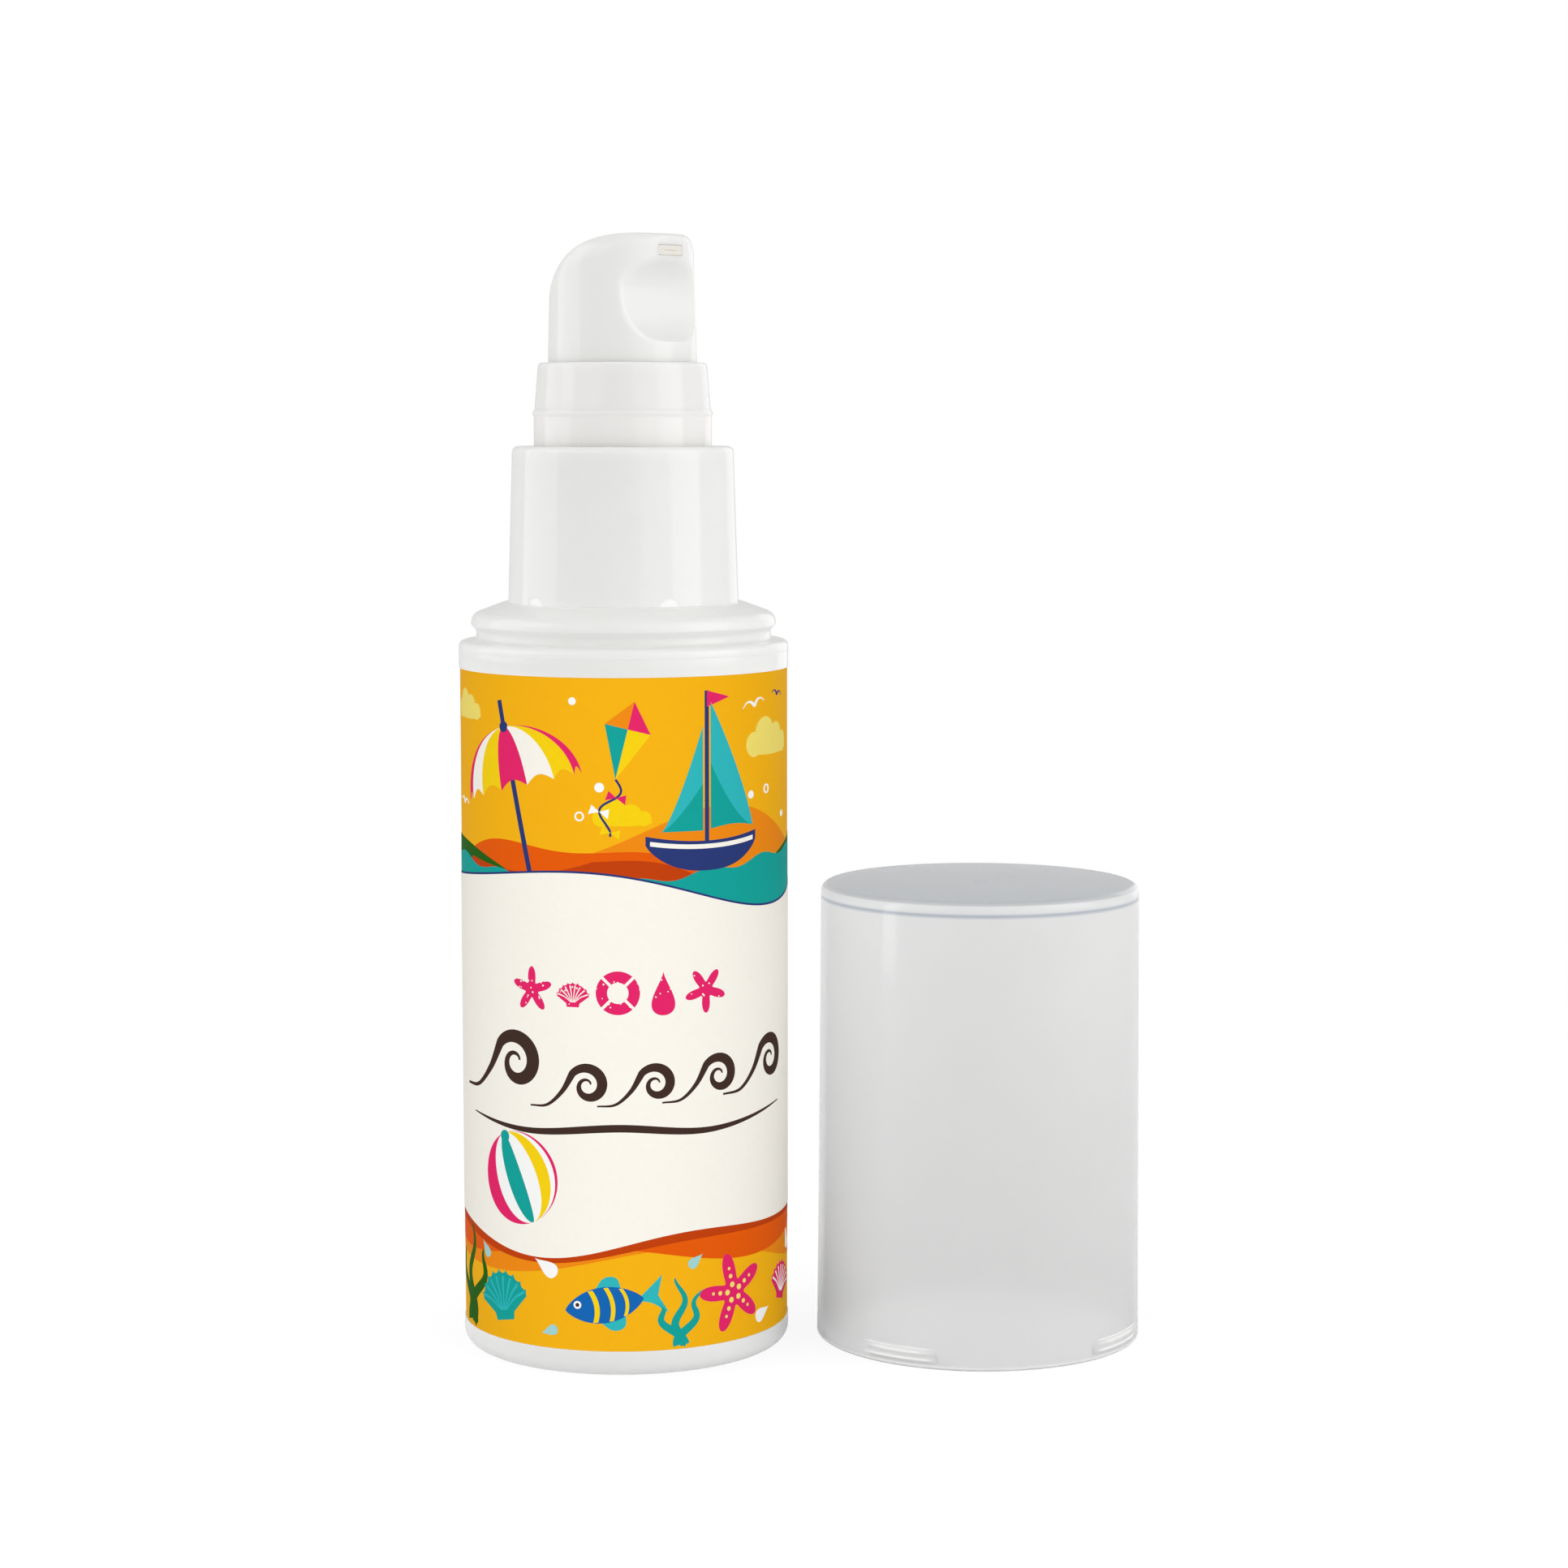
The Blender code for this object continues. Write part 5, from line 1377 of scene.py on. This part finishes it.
def front_field(ink_print):
    """A row of five signs, the wave scrolls, a swelling line and a ball on the cream field."""
    row, size, level = 40.4, 2.25, 7
    starfish(Stamp(ink_print, -9.4, row, size * 1.08, 0, level), "pink")
    scallop(Stamp(ink_print, -4.7, row - 1.2, size * 0.95, 0, level), "pink", "cream")
    life_ring(Stamp(ink_print, 0, row, size * 1.04, 0, level), "pink", "cream")
    drop(Stamp(ink_print, 4.7, row - 0.1, size * 1.02, 0, level), "pink")
    starfish(Stamp(ink_print, 9.4, row, size * 1.08, 36, level), "pink")
    chance = np.random.default_rng(11)
    for u, v in zip(chance.uniform(-11.4, 11.4, 90), chance.uniform(row - 1.6, row + 1.6, 90)):
        ink_print.disc("cream", 9, u, v, chance.uniform(0.05, 0.1))
    for u, v, size in (
        (-13.6, 31.6, 5.2), (-4.6, 30.0, 3.6), (2.6, 30.2, 3.4), (9.6, 30.6, 3.6), (17.4, 31.2, 4.2),
    ):
        wave_scroll(Stamp(ink_print, u, v, size, -6, level), "cocoa")
    path = smooth_path([(-19, 26.4), (-10, 25.6), (0, 26.3), (10, 25.7), (21, 27.2)], 14)
    ink_print.stroke("cocoa", level, path, 0.12 + 0.68 * np.sin(np.linspace(0, math.pi, len(path))))
    beach_ball(Stamp(ink_print, -11.4, 20.4, 4.9, 24, level))


def back_field(ink_print, at):
    """A ball and a ruled panel on the cream field at the back. Each fourth line is short."""
    level = 7
    beach_ball(Stamp(ink_print, at + 11.4, 20.4, 4.9, -24, level))
    life_ring(Stamp(ink_print, at, 43.2, 3.0, 0, level), "pink", "cream")
    for number in range(8):
        wide = 12.5 if number % 4 != 3 else 7.5
        line = np.linspace(-wide, wide, 40) + at - (12.5 - wide)
        low = 37.5 - 1.7 * number
        ink_print.strip("cocoa", level, line, low, low + 0.5)


def film_radius(size):
    """The film leaves room for the ink inside the label's outer radius."""
    return BOXES["wrap_label"][1].x - FILM_INK_STEPS * size.ink_step


class BOTTLE_OT_film(bpy.types.Operator):
    """Makes the label film, whose bare amber shows between the inks"""

    bl_idname = "bottle.film"
    bl_label = "Label film"

    def execute(self, context):
        size = sizes()
        low, top = low_of("wrap_label"), high_of("wrap_label")
        outer = film_radius(size)
        inner = outer - size.film_thickness
        corners = [(inner, top), (outer, top), (outer, low), (inner, low)]
        skin = turned_skin(np.array(corners), 2 * size.facets)
        add_piece("label_film", skin, ink_finish("amber"), "bottle", "label_film", ["wrap_label"])
        return {"FINISHED"}


class BOTTLE_OT_print(bpy.types.Operator):
    """Lays the printed seaside design on the film, one piece for each ink"""

    bl_idname = "bottle.print"
    bl_label = "Label print"

    def execute(self, context):
        size = sizes()
        radius = film_radius(size)
        ink_print = LabelPrint(radius, size.ink_step, size.ink_sink)
        round_label = math.tau * radius / MM
        columns = 2 * size.facets
        grounds(ink_print, np.arange(columns) * round_label / columns)
        for at in (0, round_label / 2):
            sky(ink_print, at)
            sea_bed(ink_print, at)
        front_field(ink_print)
        back_field(ink_print, round_label / 2)
        for ink, skins in ink_print.skins.items():
            add_piece(f"ink_{ink}", joined(skins), ink_finish(ink), "bottle", "label_film")
        return {"FINISHED"}


# Studio


# Turn from the viewer in degrees, height, distance, and the face's width and height
LAMP_PLACES = {
    "right": (54, 0.33, 0.5, 0.85, 0.7),
    "left": (-92.5, 0.28, 0.5, 0.54, 0.5),
    "front": (-55, 0.4, 0.6, 0.8, 0.4),
    "strip": (69, 0.28, 0.5, 0.34, 0.5),
    "edge": (150, 0.14, 0.6, 0.3, 0.4),
    "label": (4, 0.14, 0.6, 0.5, 0.4),
    "cap": (-88, 0.14, 0.5, 0.5, 0.4),
}
AIM_HEIGHT = 0.06
FLOOR_HALF_WIDTH = 6.0
FLOOR_WHITE = 0.97
FLOOR_SEEN_THROUGH = 0.75
SHADOW_FADE = (0.08, 0.3)


def softbox(name, power):
    """A rectangular lamp that stands round the bottle at an angle from the viewer and faces it."""
    azimuth, height, distance, wide, tall = LAMP_PLACES[name]
    lamp = bpy.data.lights.new(f"{name}_lamp", "AREA")
    lamp.shape = "RECTANGLE"
    lamp.size = wide
    lamp.size_y = tall
    lamp.energy = power
    stand = bpy.data.objects.new(lamp.name, lamp)
    bpy.context.scene.collection.objects.link(stand)
    turn = math.radians(azimuth)
    stand.location = (distance * math.sin(turn), -distance * math.cos(turn), height)
    rise = math.atan2(height - AIM_HEIGHT, distance)
    stand.rotation_euler = (math.pi / 2 - rise, 0, turn)
    return stand


def lit_pieces(name, pieces, state):
    """A group of pieces that a lamp is told to light, or to leave out."""
    group = bpy.data.collections.new(name)
    for piece in pieces:
        group.objects.link(piece)
    for member in group.collection_objects:
        member.light_linking.link_state = state
    return group


def seen_rays(tree, mirrored, through):
    """1 for camera rays, shares for glossy and transmission rays, and 0 for the rest."""
    ray = add_node(tree, "LightPath")
    seen = ray.outputs["Is Camera Ray"]
    for name, portion in (("Is Transmission Ray", through), ("Is Glossy Ray", mirrored)):
        part = add_node(tree, "Math", {0: ray.outputs[name], 1: portion}, operation="MULTIPLY")
        seen = add_node(tree, "Math", {0: seen, 1: part.outputs[0]}, operation="MAXIMUM").outputs[0]
    return seen


class BOTTLE_OT_stage(bpy.types.Operator):
    """Sets up the camera, the lamps, the white surroundings and the floor"""

    bl_idname = "bottle.stage"
    bl_label = "Studio"

    def execute(self, context):
        scene = context.scene
        studio = scene.bottle_studio
        scene.view_settings.view_transform = "Standard"
        lens = bpy.data.cameras.new("photo_camera")
        lens.lens = studio.camera_lens
        camera = bpy.data.objects.new("photo_camera", lens)
        camera.location = studio.camera_place
        camera.rotation_euler = (math.pi / 2 - studio.camera_pitch, 0, 0)
        scene.collection.objects.link(camera)
        scene.camera = camera
        self.lamps(scene, studio)
        self.surroundings(scene, studio)
        self.floor(scene, studio)
        return {"FINISHED"}

    def lamps(self, scene, studio):
        """Four lamps round the front light all but the label, and one behind lights every piece. The
        label has a lamp of its own in front, so that it shades evenly to both sides. The overcap has
        one on its left, which the bottle doesn't block."""
        lamps = {name: softbox(name, getattr(studio, f"{name}_power")) for name in LAMP_PLACES}
        links = {name: lamp.light_linking for name, lamp in lamps.items()}
        label = [piece for piece in scene.objects if piece.name.startswith(("label_", "ink_"))]
        not_label = lit_pieces("not_the_label", label, "EXCLUDE")
        for name in ("right", "left", "front", "strip"):
            links[name].receiver_collection = not_label
        links["label"].receiver_collection = lit_pieces("label", label, "INCLUDE")
        cap = lit_pieces("cap", [scene.objects["overcap_shell"]], "INCLUDE")
        links["cap"].receiver_collection = cap
        links["cap"].blocker_collection = cap

    def surroundings(self, scene, studio):
        """White to the camera, in part in reflections, and a plain ambient light otherwise."""
        world = scene.world or bpy.data.worlds.new("surroundings")
        scene.world = world
        world.use_nodes = True
        tree = world.node_tree
        seen = seen_rays(tree, studio.mirrored, 1)
        strength = add_node(tree, "Mix", {"Factor": seen, "A": studio.ambient, "B": 1})
        back = tree.nodes["Background"]
        back.inputs["Color"].default_value = (1, 1, 1, 1)
        tree.links.new(strength.outputs["Result"], back.inputs["Strength"])

    def floor(self, scene, studio):
        """A wide white plane. To the camera, a glow is added to a share of its own shading, so that
        the open floor is white and the object's shadow stays."""
        mesh = bpy.data.meshes.new("floor")
        wide = FLOOR_HALF_WIDTH
        corners = [(-wide, -wide, 0), (wide, -wide, 0), (wide, wide, 0), (-wide, wide, 0)]
        mesh.from_pydata(corners, [], [(0, 1, 2, 3)])
        floor = bpy.data.objects.new("floor", mesh)
        scene.collection.objects.link(floor)
        finish = bpy.data.materials.new("floor_white")
        finish.use_nodes = True
        mesh.materials.append(finish)
        tree = finish.node_tree
        tree.nodes.remove(tree.nodes["Principled BSDF"])
        place = add_node(tree, "TexCoord").outputs["Object"]
        fade = add_node(tree, "MapRange", {
            "Value": add_node(tree, "VectorMath", {0: place}, operation="LENGTH").outputs["Value"],
            "From Min": SHADOW_FADE[0], "From Max": SHADOW_FADE[1], "To Min": studio.shadow, "To Max": 0,
        }).outputs["Result"]
        rest = add_node(tree, "Math", {0: fade, 1: -studio.floor_level, 2: 1}, operation="MULTIPLY_ADD")
        shown = add_node(tree, "BsdfDiffuse", {"Color": fade})
        glow = add_node(tree, "Emission", {"Strength": rest.outputs[0]})
        both = add_node(tree, "AddShader", {0: shown.outputs[0], 1: glow.outputs[0]})
        matte = add_node(tree, "BsdfDiffuse", {"Color": (FLOOR_WHITE, FLOOR_WHITE, FLOOR_WHITE, 1)})
        seen = seen_rays(tree, studio.mirrored, FLOOR_SEEN_THROUGH)
        blend = add_node(tree, "MixShader", {0: seen, 1: matte.outputs[0], 2: both.outputs[0]})
        tree.links.new(blend.outputs[0], tree.nodes["Material Output"].inputs["Surface"])


OPERATORS = (
    BOTTLE_OT_body,
    BOTTLE_OT_film,
    BOTTLE_OT_print,
    BOTTLE_OT_shoulder,
    BOTTLE_OT_collar,
    BOTTLE_OT_sleeve,
    BOTTLE_OT_head,
    BOTTLE_OT_nozzle,
    BOTTLE_OT_overcap,
    BOTTLE_OT_spring,
    BOTTLE_OT_inside,
    BOTTLE_OT_stage,
)


SCENE_GROUPS = {
    "bottle_sizes": BottleSizes,
    "bottle_colours": BottleColours,
    "bottle_studio": StudioSettings,
}


class BOTTLE_PT_panel(bpy.types.Panel):
    """Lists the bottle's operators and its settings"""

    bl_idname = "BOTTLE_PT_panel"
    bl_label = "Pump bottle"
    bl_space_type = "VIEW_3D"
    bl_region_type = "UI"
    bl_category = "Bottle"

    def draw(self, context):
        for operator in OPERATORS:
            self.layout.operator(operator.bl_idname)
        for name in SCENE_GROUPS:
            group = getattr(context.scene, name)
            box = self.layout.box()
            for setting in group.__annotations__:
                box.prop(group, setting)


CLASSES = (*SCENE_GROUPS.values(), *OPERATORS, BOTTLE_PT_panel)


def register():
    for each in CLASSES:
        bpy.utils.register_class(each)
    for name, group in SCENE_GROUPS.items():
        setattr(bpy.types.Scene, name, PointerProperty(type=group))


def unregister():
    for name in SCENE_GROUPS:
        delattr(bpy.types.Scene, name)
    for each in reversed(CLASSES):
        bpy.utils.unregister_class(each)


def main():
    register()
    bpy.ops.bottle.body()
    bpy.ops.bottle.film()
    bpy.ops.bottle.print()
    bpy.ops.bottle.shoulder()
    bpy.ops.bottle.collar()
    bpy.ops.bottle.sleeve()
    bpy.ops.bottle.head()
    bpy.ops.bottle.nozzle()
    bpy.ops.bottle.overcap()
    bpy.ops.bottle.spring()
    bpy.ops.bottle.inside()
    bpy.ops.bottle.stage()


if __name__ == "__main__":
    main()
